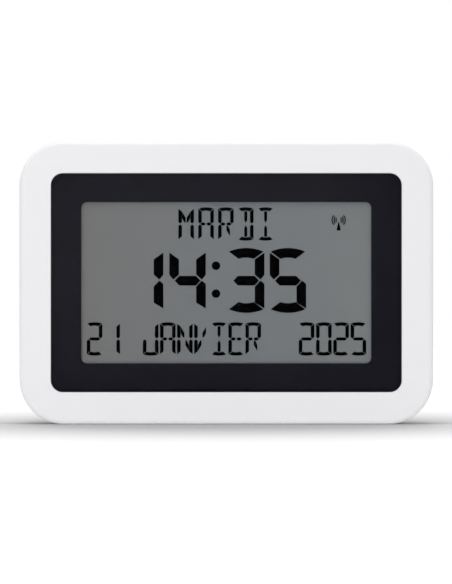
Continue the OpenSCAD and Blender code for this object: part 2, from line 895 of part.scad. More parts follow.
module battery_contact_plates() {
    color([0.8, 0.8, 0.82]) {
        block([-28.55, 0, cell_z1 - 4.5], [-28.15, 8.5, cell_z2 + 4.5]);
        for (z = [cell_z1, cell_z2]) {
            block([28.15, 0, z - 4.5], [28.55, 9.4, z + 4.5]);
            block([28.15, 9, z - 1.2], [34.8, 9.4, z + 1.2]);
        }
        translate([25.8, cell_y, cell_z1])
            rotate([0, 90, 0])
                cylinder(h = 2.5, r = 2.2);
        translate([-28.3, cell_y, cell_z2])
            rotate([0, 90, 0])
                cylinder(h = 2.5, r = 2.2);
    }
}

module lead_red() {
    color([0.75, 0.08, 0.08])
        wire([[35.6, 9.2, cell_z1], [38, 6, 100], [40, 2, 80], [42, pcb_y1 + 0.8, 71]], 0.7);
}

module lead_black() {
    color([0.08, 0.08, 0.08])
        wire([[35.6, 9.2, cell_z2], [40, 6, 112], [43.5, 2, 84], [46, pcb_y1 + 0.8, 71]], 0.7);
}

// door: plate, hinge barrel with two stub pins, latch block and ribs
module battery_door() {
    color([0.92, 0.92, 0.93])
        difference() {
            union() {
                block([-door_x, door_y0, pin_z], [door_x, yb, bay_z + door_h]);
                bar_x(0, pin_y, pin_z, 2 * door_x, 1.9);
                bar_x(0, pin_y, pin_z, 2 * door_x + 3.2, pin_r);
                block([-5, yb - 3.3, bay_z + 14], [5, door_y0 + e, bay_z + door_h]);
                for (x = [-15, 15])
                    block([x - 0.8, yb - 2.8, bay_z - 12], [x + 0.8, door_y0 + e, bay_z + 12]);
            }
            bar_y(0, bay_z + 8, yb - 0.8, yb + 1, 12);
        }
    // grip ribs in the thumb dish
    color([0.92, 0.92, 0.93])
        for (i = [0 : 3])
            block([-7 + i, yb - 0.85, bay_z + 12 - i * 2.2], [7 - i, yb - 0.3, bay_z + 12.9 - i * 2.2]);
}

// ---------- stand ----------

module stand() {
    x1 = leg_w / 2;
    foot = hinge_z - leg_len;
    r = 9;
    color([0.92, 0.92, 0.93])
        difference() {
            union() {
                // skin
                slab(yb - 2.3, yb - 0.3)
                    stand_outline(x1, foot, r);
                // rim ribs
                slab(yb - 5, yb - 0.3)
                    difference() {
                        stand_outline(x1, foot, r);
                        stand_hollow(x1 - 2, foot + 2, r - 2);
                        translate([0, foot])
                            circle(11);
                    }
                // rib round the finger arch
                slab(yb - 5, yb - 0.3)
                    intersection() {
                        stand_outline(x1, foot, r);
                        translate([0, foot])
                            circle(11);
                    }
                for (x = [-12, 12])
                    block([x - 0.9, yb - 5, foot + 11], [x + 0.9, yb - 1, hinge_z - 3]);
                // knuckle, its square heel stops the leg against the recess floor
                bar_x(0, hinge_y, hinge_z, leg_w, 2.4);
                block([-x1, hinge_y - 2.2, hinge_z - 4], [x1, yb - 0.3, hinge_z]);
                block([-20, hinge_y - 2.2, hinge_z - 1], [20, hinge_y, hinge_z + 1.6]);
                // stub axles
                bar_x(0, hinge_y, hinge_z, leg_w + 7.4, axle_r);
            }
            // finger arch in the foot
            bar_y(0, foot, yb - 8, yb + 1, 9);
        }
}

module stand_outline(x1, foot, r) {
    translate([-x1, foot + r])
        square([2 * x1, hinge_z - foot - r]);
    translate([-x1 + r, foot])
        square([2 * x1 - 2 * r, r + 1]);
    for (sx = [-1, 1])
        translate([sx * (x1 - r), foot + r])
            circle(r);
}

module stand_hollow(x1, foot, r) {
    translate([-x1, foot + r])
        square([2 * x1, hinge_z - 4 - foot - r]);
    translate([-x1 + r, foot])
        square([2 * x1 - 2 * r, r + 1]);
    for (sx = [-1, 1])
        translate([sx * (x1 - r), foot + r])
            circle(r);
}

// ---------- screws ----------

module case_screws() {
    color([0.6, 0.61, 0.63])
        for (sx = [-1, 1], z = [boss_z, body_h - boss_z])
            screw(sx * boss_x, z, yp + 3.2, 12, 1.1, 2.7, 2);
}

module holder_screws() {
    color([0.6, 0.61, 0.63])
        for (p = holder_pts)
            screw(p[0], p[1], holder_y1, 5, 0.9, 2, 1.4);
}

module board_screws() {
    color([0.6, 0.61, 0.63])
        for (p = board_pts)
            screw(p[0], p[1], pcb_y1, 4, 0.9, 2, 1.4);
}

// ---------- buttons ----------

module button(i) {
    color([0.3, 0.31, 0.33])
        translate([key_pos(i)[0], 0, key_pos(i)[1]])
            rotate([-90, 0, 0])
                rotate_extrude() {
                    // stem, flange and cap with a rounded rim
                    translate([0, plunger_y1 + 0.05])
                        square([1.7, yb - 4.2 - plunger_y1]);
                    translate([0, yb - 4.3])
                        square([5.4, 1.2]);
                    translate([0, yb - 3.2])
                        square([cap_r, 2.4]);
                    translate([0, yb - 3.2])
                        square([cap_r - 0.6, cap_y1 - yb + 3.2]);
                    translate([cap_r - 0.6, cap_y1 - 0.6])
                        circle(0.6);
                }
}

module plunger(i) {
    color([0.05, 0.05, 0.05])
        bar_y(key_pos(i)[0], key_pos(i)[1], plunger_y1 - 1.65, plunger_y1, 1.6);
}

module button_set() {
    button(0);
}

module button_up() {
    button(1);
}

module button_down() {
    button(2);
}

module button_language() {
    button(3);
}

module button_format() {
    button(4);
}

module button_sync() {
    button(5);
}

module plunger_set() {
    plunger(0);
}

module plunger_up() {
    plunger(1);
}

module plunger_down() {
    plunger(2);
}

module plunger_language() {
    plunger(3);
}

module plunger_format() {
    plunger(4);
}

module plunger_sync() {
    plunger(5);
}

front_housing();
rear_cover();
screen_lens();
lens_border_print();
lens_tape();
lcd_front_polariser();
lcd_front_glass();
lcd_seal();
lcd_weekday_segments();
lcd_time_segments();
lcd_date_segments();
lcd_signal_icon();
lcd_rear_glass();
lcd_rear_polariser();
lcd_holder();
zebra_strip();
main_board();
controller_blob();
clock_crystal();
board_components();
radio_module();
module_pad();
antenna_rod();
antenna_coil();
antenna_holders();
radio_leads();
tact_switches();
battery_contact_springs();
battery_contact_plates();
battery_1();
battery_2();
lead_red();
lead_black();
case_screws();
holder_screws();
board_screws();
stand();
battery_door();
button_set();
button_up();
button_down();
button_language();
button_format();
button_sync();
plunger_set();
plunger_up();
plunger_down();
plunger_language();
plunger_format();
plunger_sync();
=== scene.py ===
import json
import math

import bmesh
import bpy
from bpy.props import FloatProperty, FloatVectorProperty, PointerProperty
from mathutils import Matrix, Vector


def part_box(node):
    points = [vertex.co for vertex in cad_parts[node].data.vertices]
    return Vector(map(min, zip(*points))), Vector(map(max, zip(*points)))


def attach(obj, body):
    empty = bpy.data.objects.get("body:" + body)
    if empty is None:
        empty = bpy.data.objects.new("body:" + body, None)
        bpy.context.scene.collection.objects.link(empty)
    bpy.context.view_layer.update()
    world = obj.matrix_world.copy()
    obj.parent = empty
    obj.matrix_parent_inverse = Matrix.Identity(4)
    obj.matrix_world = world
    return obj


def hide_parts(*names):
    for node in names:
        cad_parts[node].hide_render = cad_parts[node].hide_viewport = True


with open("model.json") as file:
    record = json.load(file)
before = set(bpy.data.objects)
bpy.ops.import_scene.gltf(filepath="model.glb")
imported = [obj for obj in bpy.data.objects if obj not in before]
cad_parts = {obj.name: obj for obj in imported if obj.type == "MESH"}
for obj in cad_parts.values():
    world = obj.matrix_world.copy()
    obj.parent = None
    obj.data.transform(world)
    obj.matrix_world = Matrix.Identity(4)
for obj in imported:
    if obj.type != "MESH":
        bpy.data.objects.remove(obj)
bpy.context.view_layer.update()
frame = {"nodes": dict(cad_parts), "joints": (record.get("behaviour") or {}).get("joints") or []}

bl_info = {
    "name": "Day clock",
    "version": (1, 0, 0),
    "blender": (4, 5, 0),
    "location": "3D View > Sidebar > Day Clock",
    "description": "Builds and finishes the pieces of a large-digit day and date clock",
    "category": "Object",
}

# ---------- sizes, in millimetres: _X, _DZ and _HALF are measured from a middle ----------

MM = 0.001


def node_box(name):
    """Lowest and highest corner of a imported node, in millimetres."""
    low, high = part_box(name)
    return low / MM, high / MM


def node_middle(name):
    """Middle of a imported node's box as X, Y and Z, in millimetres."""
    return [(low + high) / 2 for low, high in zip(*node_box(name))]


def joint_point(name):
    """A joint's point in the frame, in millimetres."""
    joint = next(j for j in frame["joints"] if j["name"] == name)
    return Vector(joint["pos_m"]) / MM


FRONT_LOW, FRONT_HIGH = node_box("front_housing")
REAR_HIGH = node_box("rear_cover")[1]
LENS_LOW, LENS_HIGH = node_box("screen_lens")
GLASS_LOW, GLASS_HIGH = node_box("lcd_front_glass")
LEG_LOW, LEG_HIGH = node_box("stand")
DOOR_LOW, DOOR_HIGH = node_box("battery_door")

# how finely curves are cut, and the least radius that a corner keeps
CORNER_STEPS = 20
RIM_STEPS = 10
ROUND_STEPS = 6
DISC_STEPS = 64
SCREW_STEPS = 40
PIN_STEPS = 32
PIN_HOLE_STEPS = 24
LEAST_R = 0.01
# rounding of small mouths, corners and ends, and bevel of seams, ribs and pins
SOFT = 0.3
EDGE = 0.2
# play round a pin, and how far an added part reaches into what carries it
PLAY = 0.05
SINK = 0.2
SLIVER = 0.05
# how far a cutter stands out of the face that it opens, and its slight flare at that face
OUTSIDE = 3
FLARE = 0.02
# case
CASE_W = FRONT_HIGH.x - FRONT_LOW.x
CASE_H = FRONT_HIGH.z - FRONT_LOW.z
MID_Z = (FRONT_LOW.z + FRONT_HIGH.z) / 2
FRONT_Y = FRONT_LOW.y
PART_Y = FRONT_HIGH.y
BACK_Y = REAR_HIGH.y
CORNER_R = 25
WALL = 2.2
BACK_WALL = 2
INNER_Y = BACK_Y - BACK_WALL
# parting line, and the tongue that locates the front housing
SEAM_DEPTH = 0.4
SEAM_W = 0.5
TONGUE_OUT = 2.35
TONGUE_IN = 3.55
TONGUE_Y0 = PART_Y - 2.2
TONGUE_Y1 = PART_Y + 2.5
# screen
LENS_W = LENS_HIGH.x - LENS_LOW.x
LENS_H = LENS_HIGH.z - LENS_LOW.z
LENS_R = 6.6
LENS_GAP = 0.12
WINDOW_W = 161.1
GLASS_GAP = 0.3
GLASS_EDGE = 0.1
FILM_EDGE = 0.05
OPENING_R = 0.5
LEDGE_Y0 = node_box("lens_tape")[1].y
LEDGE_Y1 = LEDGE_Y0 + 1
LEDGE_RIM = 2.25
# screws, with their posts, bosses and wells
SCREW_X = CASE_W / 2 - 14
SCREW_Z = 15.5
SCREW_PLACES = [(x, z) for x in (-SCREW_X, SCREW_X) for z in (SCREW_Z, CASE_H - SCREW_Z)]
POST_R = 3.75
POST_HOLE_R = 1.15
POST_Y = PART_Y - 0.2
HOLE_SHARE = 0.7
BOSS_R = 4.8
BOSS_Y = PART_Y - 0.1
SHANK_HOLE_R = 1.5
WELL_R = 3.3
WELL_Y = PART_Y + 3.2
HOLDER_X = WINDOW_W / 2 + 10.95
HOLDER_DZ = 54.25
HOLDER_Y = LEDGE_Y1 + 2.2
HOLDER_POST_R = 3
HOLDER_HOLE_R = 0.95
# stand
LEG_AXIS = joint_point("stand_hinge")
AXLE_OUT = 3.7
LEG_X = LEG_HIGH.x - AXLE_OUT
LEG_FOOT = LEG_LOW.z
LEG_Y0 = LEG_LOW.y
LEG_Y1 = BACK_Y - 0.3
LEG_R = 9
LEG_SKIN = 2
LEG_EDGE = 0.6
LEG_RIB_X = 12
LEG_RIB_HALF = 0.9
HOLLOW_TOP = LEG_AXIS.z - 4
HOLLOW_ROUND = 0.5
HEEL_X = 20
HEEL_EDGE = 0.15
ARCH_R = 9
AXLE_R = 1.5
# stand recess with its two axle blocks
BLOCK_HALF = 1.7
BLOCK_RISE = 4.6
BLOCK_Y = BACK_Y - 0.5
RECESS_X = LEG_X + 1.5
RECESS_Z0 = 3.4
RECESS_Z1 = LEG_AXIS.z + BLOCK_RISE
RECESS_Y = BACK_Y - 5.5
RECESS_R = 1.2
RECESS_ROUND = 0.5
RECESS_WALL = 1.5
RECESS_SIDE = 1.6
AXLE_HOLE_X = RECESS_X + 1.3
AXLE_HOLE_HALF = 1.4
# battery door and its seat in the cover
DOOR_AXIS = joint_point("battery_door_hinge")
DOOR_X = 31
DOOR_DZ = 17
DOOR_R = 1.5
DOOR_EDGE = 0.35
DOOR_TOP = DOOR_HIGH.z
DOOR_Y0 = BACK_Y - 1.8
DOOR_RIB_X = 15
DOOR_RIB_DZ = 12
DOOR_RIB_HALF = 0.8
DOOR_RIB_Y0 = BACK_Y - 2.8
DOOR_RIB_Y1 = DOOR_Y0 + 0.3
BARREL_R = 1.9
BARREL_ROOM_R = 2.2
PIN_R = 1.2
PIN_HOLE_X = DOOR_X + 1.8
SEAT_Y = DOOR_Y0 - 0.1
SEAT_GAP = 0.25
SEAT_BOX_X = 33.6
SEAT_BOX_DZ = 19.7
SEAT_BOX_Y = BACK_Y - 4.2
# battery bay
BAY_X = 28.6
BAY_DZ = 15.3
BAY_Z = DOOR_TOP - DOOR_DZ
BAY_R = 2
BAY_ROUND = 1
BAY_WALL = 2
BAY_BASE = 1.6
BAY_FLOOR = BACK_Y - 18.1
# ridge between the cells, and the ways out for the contacts' tails
RIDGE_X = 26
RIDGE_H = 2.4
RIDGE_HALF = 1.3
RIDGE_EDGE = 0.4
TAIL_DZ = 7.5
TAIL_HALF = 1.8
TAIL_Y0 = 8.4
TAIL_Y1 = 10
# the door's latch
LATCH_X = 5
LATCH_Y = BACK_Y - 3.3
LATCH_Z = BAY_Z + 14
LATCH_ROOM = 0.6
# thumb dish and its grip ribs
DISH_R = 12
DISH_Z = BAY_Z + 8
DISH_DEPTH = 0.8
DISH_ROUND = 0.6
GRIPS = 4
GRIP_X = 7
GRIP_Z = BAY_Z + 12
GRIP_W = 0.9
GRIP_PITCH = 2.2
GRIP_EDGE = 0.25
# keyhole, and the room behind it for the nail's head
KEY_R = 4.25
KEY_SLOT = 4.2
KEY_Z = 139.7
KEY_RISE = 7.4
ROOM_X = 6.6
ROOM_DEPTH = 4.5
ROOM_DROP = 4.5
ROOM_RISE = 9.8
ROOM_WALL = 1.2
ROOM_SIDE = 1.4
# buttons and their panel
KEYS = ("set", "up", "down", "language", "format", "sync")
PANEL_W = 44
PANEL_H = 52
PANEL_R = 4
PANEL_X = 70
PANEL_Z = 46
PANEL_Y = BACK_Y - 1
PANEL_WALL = 2
KEY_HOLE_R = 4.3
KEY_HOLE_ROUND = 0.25
SIGN_DROP = 7

# ---------- outlines: functions that give the points of a shape grown by an amount ----------


def arc(cx, cz, radius, start, end, steps):
    """Points along an arc in X and Z, angles in degrees from +X towards +Z."""
    angles = [math.radians(start + (end - start) * i / steps) for i in range(steps + 1)]
    return [(cx + radius * math.cos(a), cz + radius * math.sin(a)) for a in angles]


def rounded(width, height, radius, cx=0.0, cz=MID_Z, steps=CORNER_STEPS):
    """Outline of a rectangle with round corners."""
    def points(grow=0.0):
        r = max(radius + grow, LEAST_R)
        x = width / 2 + grow - r
        z = height / 2 + grow - r
        corners = ((x, z, 0), (-x, z, 90), (-x, -z, 180), (x, -z, 270))
        return [p for ax, az, a in corners for p in arc(cx + ax, cz + az, r, a, a + 90, steps)]
    return points


def pane(low, high, radius=SOFT, steps=4):
    """Outline of a pane between two corners."""
    return rounded(high.x - low.x, high.z - low.z, radius, (low.x + high.x) / 2,
                   (low.z + high.z) / 2, steps)


def disc(cx=0.0, cz=0.0, steps=DISC_STEPS):
    """Outline of a circle whose radius is the amount it is grown by."""
    def points(grow):
        return arc(cx, cz, grow, 0, 360 * (steps - 1) / steps, steps - 1)
    return points


def keyhole(grow=0.0):
    """Round hole with a slot above it."""
    r = KEY_R + grow
    half = KEY_SLOT / 2 + grow
    meet = math.degrees(math.acos(half / r))
    return (arc(0, KEY_Z, r, -180 - meet, meet, 40)
            + arc(0, KEY_Z + KEY_RISE, half, 0, 180, 20))


def leg(grow=0.0, top=LEG_AXIS.z):
    """The stand's leg: round corners and a finger arch at the foot."""
    foot = LEG_FOOT - grow
    corner_x = LEG_X - LEG_R
    corner_z = LEG_FOOT + LEG_R
    r = LEG_R + grow
    arch = ARCH_R - grow
    lift = math.degrees(math.asin((foot - LEG_FOOT) / arch))
    return ([(LEG_X + grow, top), (-LEG_X - grow, top)]
            + arc(-corner_x, corner_z, r, 180, 270, 16)
            + arc(0, LEG_FOOT, arch, 180 - lift, lift, 32)
            + arc(corner_x, corner_z, r, 270, 360, 16))


CASE = rounded(CASE_W, CASE_H, CORNER_R)
LENS = rounded(LENS_W, LENS_H, LENS_R)
DOOR = rounded(2 * DOOR_X, 2 * DOOR_DZ, DOOR_R, 0, BAY_Z)
BAY = rounded(2 * BAY_X, 2 * BAY_DZ, BAY_R, 0, BAY_Z)
RECESS = rounded(2 * RECESS_X, RECESS_Z1 - RECESS_Z0, RECESS_R, 0, (RECESS_Z0 + RECESS_Z1) / 2)
PANEL = rounded(PANEL_W, PANEL_H, PANEL_R, PANEL_X, PANEL_Z)

# ---------- solids ----------


def quarter(radius, steps=ROUND_STEPS):
    """(inset, travel) pairs along a quarter round, from its wall to its face."""
    turns = [math.pi / 2 * i / steps for i in range(steps + 1)]
    return [(radius * (1 - math.cos(t)), radius * math.sin(t)) for t in turns]


def stack(outline, levels):
    """Rings of an outline at each (grow, y) level."""
    return [[Vector((x, y, z)) for x, z in outline(grow)] for grow, y in levels]


def skin(rings, joined=False):
    """Closed mesh through rings: its ends are capped, or its last ring meets the first."""
    bm = bmesh.new()
    loops = [[bm.verts.new(p) for p in ring] for ring in rings]
    following = loops[1:] + ([loops[0]] if joined else [])
    for here, there in zip(loops, following):
        for i, corner in enumerate(here):
            j = (i + 1) % len(here)
            bm.faces.new((corner, here[j], there[j], there[i]))
    if not joined:
        bm.faces.new(loops[0])
        bm.faces.new(loops[-1])
    bmesh.ops.recalc_face_normals(bm, faces=bm.faces)
    return bm


def turned(levels, centre=(0, 0, 0), along="Y", steps=DISC_STEPS):
    """Lathed solid from (radius, distance) levels along an axis through centre."""
    bm = skin(stack(disc(steps=steps), levels))
    if along == "X":
        bm.transform(Matrix.Rotation(math.radians(-90), 4, "Z"))
    bm.transform(Matrix.Translation(centre))
    return bm


def round_bar(radius, x0, x1, axis, edge=0.0, steps=DISC_STEPS):
    """Bar along X from x0 to x1 round an axis, its ends bevelled."""
    levels = [(radius, x0), (radius, x1)]
    if edge:
        levels = [(radius - edge, x0), (radius, x0 + edge), (radius, x1 - edge),
                  (radius - edge, x1)]
    return turned(levels, axis, "X", steps)


def slab(low, high, edge=0.0, steps=2):
    """Box between two corners, its edges rounded."""
    low, high = Vector(low), Vector(high)
    bm = bmesh.new()
    bmesh.ops.create_cube(bm, size=1)
    bm.transform(Matrix.Translation((low + high) / 2) @ Matrix.Diagonal((*(high - low), 1)))
    if edge:
        bmesh.ops.bevel(bm, geom=bm.edges, offset=edge, segments=steps, profile=0.5,
                        affect="EDGES")
    return bm


def plate(outline, y0, y1, bevel, edge):
    """Solid from y0 to y1, bevelled at y0 and rounded at y1."""
    way = math.copysign(1, y1 - y0)
    levels = [(-bevel, y0), (0, y0 + way * bevel)]
    levels += [(-i, y1 + way * (t - edge)) for i, t in quarter(edge)]
    return skin(stack(outline, levels))


def open_mouth(size, mouth, mouth_y):
    """Levels that round a recess off at its mouth and lead out of it."""
    levels = [(size + i, mouth_y - mouth + t) for i, t in quarter(mouth)]
    clear = size + mouth * (1 + FLARE)
    return levels + [(clear, mouth_y + FLARE), (clear, mouth_y + OUTSIDE)]


def pocket(outline, floor_y, mouth, floor=0.0, size=0.0, mouth_y=BACK_Y):
    """Cutter for a recess open to the back, with a rounded mouth and a rounded floor edge."""
    levels = [(size - floor, floor_y)]
    if floor:
        levels = [(size - i, floor_y + floor - t) for i, t in reversed(quarter(floor))]
    return skin(stack(outline, levels + open_mouth(size, mouth, mouth_y)))


def thumb_dish():
    """Cutter for the thumb dish, which runs from the battery door onto the cover."""
    return pocket(disc(0, DISH_Z), BACK_Y - DISH_DEPTH, SOFT, DISH_ROUND, DISH_R)


def nail_room(y1, side=0.0, wall=0.0):
    """Room in front of y1 for a nail's head, or the box round it, where it has walls."""
    return slab((-ROOM_X - side, y1 - ROOM_DEPTH - wall, KEY_Z - ROOM_DROP - wall),
                (ROOM_X + side, y1, KEY_Z + ROOM_RISE + wall))


def post(x, z, radius, hole, foot_y, top_y):
    """Screw post with a blind hole in its top."""
    low = foot_y - SINK
    depth = (top_y - low) * HOLE_SHARE
    levels = [(radius, low), (radius, top_y), (hole, top_y), (hole, top_y - depth)]
    return turned(levels, (x, 0, z), steps=PIN_STEPS)


def sweep(points, radius, sides=12):
    """Round wire along points, with capped ends."""
    rings = []
    for i, p in enumerate(points):
        way = (points[min(i + 1, len(points) - 1)] - points[max(i - 1, 0)]).normalized()
        out = (p - Vector((p.x, 0, 0))).normalized()
        side = way.cross(out).normalized()
        out = side.cross(way)
        turns = [2 * math.pi * k / sides for k in range(sides)]
        rings.append([p + radius * (math.cos(t) * out + math.sin(t) * side) for t in turns])
    return skin(rings)


def joined(meshes):
    """One mesh from several that don't touch."""
    whole = bmesh.new()
    for bm in meshes:
        part = bpy.data.meshes.new("part")
        bm.to_mesh(part)
        bm.free()
        whole.from_mesh(part)
        bpy.data.meshes.remove(part)
    return whole


def both_sides(make, x):
    """What make gives at -x and at x, as one mesh."""
    return joined([make(-x), make(x)])


# ---------- objects ----------

# distance in millimetres within which points merge, and degrees from which an edge is sharp
MERGE = 0.0005
SHARP = 32


def solid(bm, name="tool"):
    """Object in the scene that holds a mesh made here."""
    mesh = bpy.data.meshes.new(name)
    bm.to_mesh(mesh)
    bm.free()
    piece = bpy.data.objects.new(name, mesh)
    bpy.context.scene.collection.objects.link(piece)
    return piece


def taken(piece):
    """The piece's mesh, while the object itself goes."""
    bm = bmesh.new()
    bm.from_mesh(piece.data)
    bpy.data.objects.remove(piece)
    return bm


def settle(piece):
    """Applies the piece's modifiers to its mesh."""
    bpy.context.view_layer.update()
    changed = piece.evaluated_get(bpy.context.evaluated_depsgraph_get())
    done = bpy.data.meshes.new_from_object(changed)
    piece.modifiers.clear()
    piece.data = done


def carve(piece, operation, meshes):
    """Unites the piece with meshes or cuts them out of it, one after another."""
    for bm in meshes:
        tool = solid(bm)
        change = piece.modifiers.new("carve", "BOOLEAN")
        change.operation = operation
        change.solver = "EXACT"
        change.object = tool
        settle(piece)
        bpy.data.objects.remove(tool)


def unite(piece, *meshes):
    """Adds meshes to the piece as one solid."""
    carve(piece, "UNION", meshes)


def cut(piece, *meshes):
    """Takes meshes out of the piece."""
    carve(piece, "DIFFERENCE", meshes)


def put(piece, name, body, looks, replaced=()):
    """Finishes a piece made in millimetres: real size, smooth faces, materials and body, and hides
    the imported nodes it replaces.
    """
    piece.name = name
    bm = bmesh.new()
    bm.from_mesh(piece.data)
    bmesh.ops.remove_doubles(bm, verts=bm.verts, dist=MERGE)
    bmesh.ops.dissolve_degenerate(bm, edges=bm.edges, dist=MERGE)
    bm.to_mesh(piece.data)
    bm.free()
    piece.data.transform(Matrix.Scale(MM, 4))
    for material in looks:
        piece.data.materials.append(material)
    piece.data.shade_smooth()
    piece.data.set_sharp_from_angle(angle=math.radians(SHARP))
    weigh = piece.modifiers.new("normals", "WEIGHTED_NORMAL")
    weigh.keep_sharp = True
    settle(piece)
    piece.data.name = name
    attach(piece, body)
    if replaced:
        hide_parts(*replaced)


def dress(looks):
    """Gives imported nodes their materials."""
    for name, material in looks.items():
        slots = frame["nodes"][name].data.materials
        slots.clear()
        slots.append(material)


# ---------- materials ----------

WHITE = (1, 1, 1, 1)
BLACK = (0, 0, 0, 1)
# most values of a noise lie between these
NOISE_LOW = 0.3
NOISE_HIGH = 0.7
# how much wider a finish's clouds are than its grain
CLOUDS = 30
# about how many bands a metre of the wave texture has at scale 1
WAVES = 3.14


class Tree:
    """Short way to place and wire the nodes of a material or of the world."""

    def __init__(self, tree):
        self.tree = tree

    def feed(self, node, inputs):
        """Wires a node's inputs, and sets those whose value is plain."""
        for key, value in inputs.items():
            if isinstance(value, bpy.types.NodeSocket):
                self.tree.links.new(value, node.inputs[key])
            else:
                node.inputs[key].default_value = value

    def add(self, kind, inputs=None, **settings):
        """A node with its settings and its inputs."""
        node = self.tree.nodes.new(kind)
        for key, value in settings.items():
            setattr(node, key, value)
        self.feed(node, inputs or {})
        return node

    def maths(self, operation, first, second):
        """Arithmetic on two values or sockets."""
        return self.add("ShaderNodeMath", {0: first, 1: second}, operation=operation).outputs[0]

    def seen(self):
        """1 for what the camera sees, straight or by way of gloss or glass, and 0 for the light."""
        path = self.add("ShaderNodeLightPath").outputs
        shiny = self.maths("MAXIMUM", path["Is Glossy Ray"], path["Is Transmission Ray"])
        return self.maths("MAXIMUM", path["Is Camera Ray"], shiny)


class Surface(Tree):
    """The nodes of one material."""

    def __init__(self, name):
        self.material = bpy.data.materials.new(name)
        self.material.use_nodes = True
        super().__init__(self.material.node_tree)
        self.shader = self.tree.nodes["Principled BSDF"]
        self.place = self.add("ShaderNodeTexCoord").outputs["Object"]

    def finished(self, inputs):
        """The material, once its shader has these inputs."""
        self.feed(self.shader, inputs)
        return self.material

    def show(self, shader):
        """The material, once it shows another shader."""
        self.feed(self.tree.nodes["Material Output"], {"Surface": shader.outputs[0]})
        return self.material

    def noise(self, size, detail=2.0, place=None):
        """Noise whose marks are about size metres wide."""
        return self.add("ShaderNodeTexNoise", {"Vector": place or self.place, "Scale": 1 / size,
                                               "Detail": detail, "Roughness": 0.5}).outputs[0]

    def ramp(self, source, *stops):
        """Colours along source, from (position, colour) stops."""
        node = self.add("ShaderNodeValToRGB", {0: source})
        scale = node.color_ramp.elements
        while len(scale) < len(stops):
            scale.new(0.5)
        for mark, (position, colour) in zip(scale, stops):
            mark.position = position
            mark.color = (*colour, 1)
        return node.outputs["Color"]

    def tones(self, noise, first, second):
        """A colour that goes from first to second with a noise."""
        return self.ramp(noise, (NOISE_LOW, first), (NOISE_HIGH, second))

    def between(self, source, low, high, start=0.0, end=1.0):
        """A value from low to high as source goes from start to end."""
        return self.add("ShaderNodeMapRange", {"Value": source, "From Min": start, "From Max": end,
                                               "To Min": low, "To Max": high}).outputs[0]

    def vary(self, noise, low, high):
        """A value that goes from low to high with a noise."""
        return self.between(noise, low, high, NOISE_LOW, NOISE_HIGH)

    def bump(self, height, depth):
        """Surface normal raised by height, depth metres deep."""
        node = self.add("ShaderNodeBump", {"Height": height, "Strength": 1.0, "Distance": depth})
        return node.outputs["Normal"]


def shade(colour, amount):
    """A colour made lighter or darker by a share."""
    return tuple(min(1.0, c * (1 + amount)) for c in colour)


def finish(name, colour, rough, grain=0.0005, depth=0.00001, mottle=0.02, metallic=0.0,
           spread=0.05, shine=0.5, coat=0.0):
    """General surface: fine grain in relief, faint clouds in colour and roughness."""
    n = Surface(name)
    clouds = n.noise(grain * CLOUDS, 3)
    return n.finished({
        "Base Color": n.tones(clouds, shade(colour, -mottle), shade(colour, mottle)),
        "Roughness": n.vary(clouds, rough - spread, rough + spread),
        "Normal": n.bump(n.noise(grain), depth),
        "Metallic": metallic,
        "Specular IOR Level": shine,
        "Coat Weight": coat,
    })


def lens_look(name, colour, alpha, shine):
    """Clear plastic, or with a dark colour and a high cover a cut edge in painted shade. Its flat
    faces only tint: the gloss lies on the print and the display.
    """
    n = Surface(name)
    return n.finished({
        "Base Color": n.tones(n.noise(0.03), shade(colour, -0.02), colour),
        "Roughness": n.vary(n.noise(0.02), 0.04, 0.1),
        "Alpha": alpha,
        "Specular IOR Level": shine,
    })


def clear_look(name, colour):
    """Clear layer behind the lens, with a faint tint."""
    n = Surface(name)
    n.tree.nodes.remove(n.shader)
    tint = n.tones(n.noise(0.02), shade(colour, -0.004), colour)
    return n.show(n.add("ShaderNodeBsdfTransparent", {"Color": tint}))


def ground_look(screen):
    """Grey ground of the display: a slow change from left to right and a very fine sparkle."""
    n = Surface("display_ground")
    x = n.add("ShaderNodeSeparateXYZ", {0: n.place}).outputs["X"]
    across = n.between(x, 0, 1, -WINDOW_W / 2 * MM, WINDOW_W / 2 * MM)
    slow = n.maths("MULTIPLY", n.noise(0.04, 1), 0.06)
    ground = n.ramp(n.maths("ADD", across, slow), (0.0, screen.ground_left),
                    (0.5, screen.ground_middle), (1.0, screen.ground_right))
    return n.finished({
        "Base Color": ground,
        "Roughness": n.vary(n.noise(0.0002), 0.75, 0.95),
        "Normal": n.bump(n.noise(0.00025), 0.000004),
        "Specular IOR Level": 0.1,
    })


def board_look(name, mask, trace):
    """Printed board: solder mask with the copper traces faintly raised under it."""
    n = Surface(name)
    grid = n.add("ShaderNodeTexBrick", {"Vector": n.place, "Scale": 400.0, "Mortar Size": 0.03,
                                        "Mortar Smooth": 0.2, "Color1": BLACK, "Color2": BLACK,
                                        "Mortar": WHITE}).outputs["Color"]
    return n.finished({
        "Base Color": n.ramp(grid, (0.0, mask), (1.0, trace)),
        "Normal": n.bump(grid, 0.00003),
        "Roughness": n.between(n.noise(0.004), 0.28, 0.4),
    })


def banded_look(name, first, second, pitch, rough, metallic=0.0, depth=0.0):
    """Fine bands of two colours along X, as on a layered connector or a winding."""
    n = Surface(name)
    waves = n.add("ShaderNodeTexWave", {"Vector": n.place, "Scale": 1 / pitch / WAVES,
                                        "Distortion": 0.2, "Detail": 0.0},
                  wave_type="BANDS", bands_direction="X", wave_profile="SIN").outputs["Fac"]
    if depth:
        n.feed(n.shader, {"Normal": n.bump(waves, depth)})
    return n.finished({
        "Base Color": n.tones(waves, first, second),
        "Roughness": n.between(n.noise(0.002), rough - 0.06, rough + 0.06),
        "Metallic": metallic,
    })


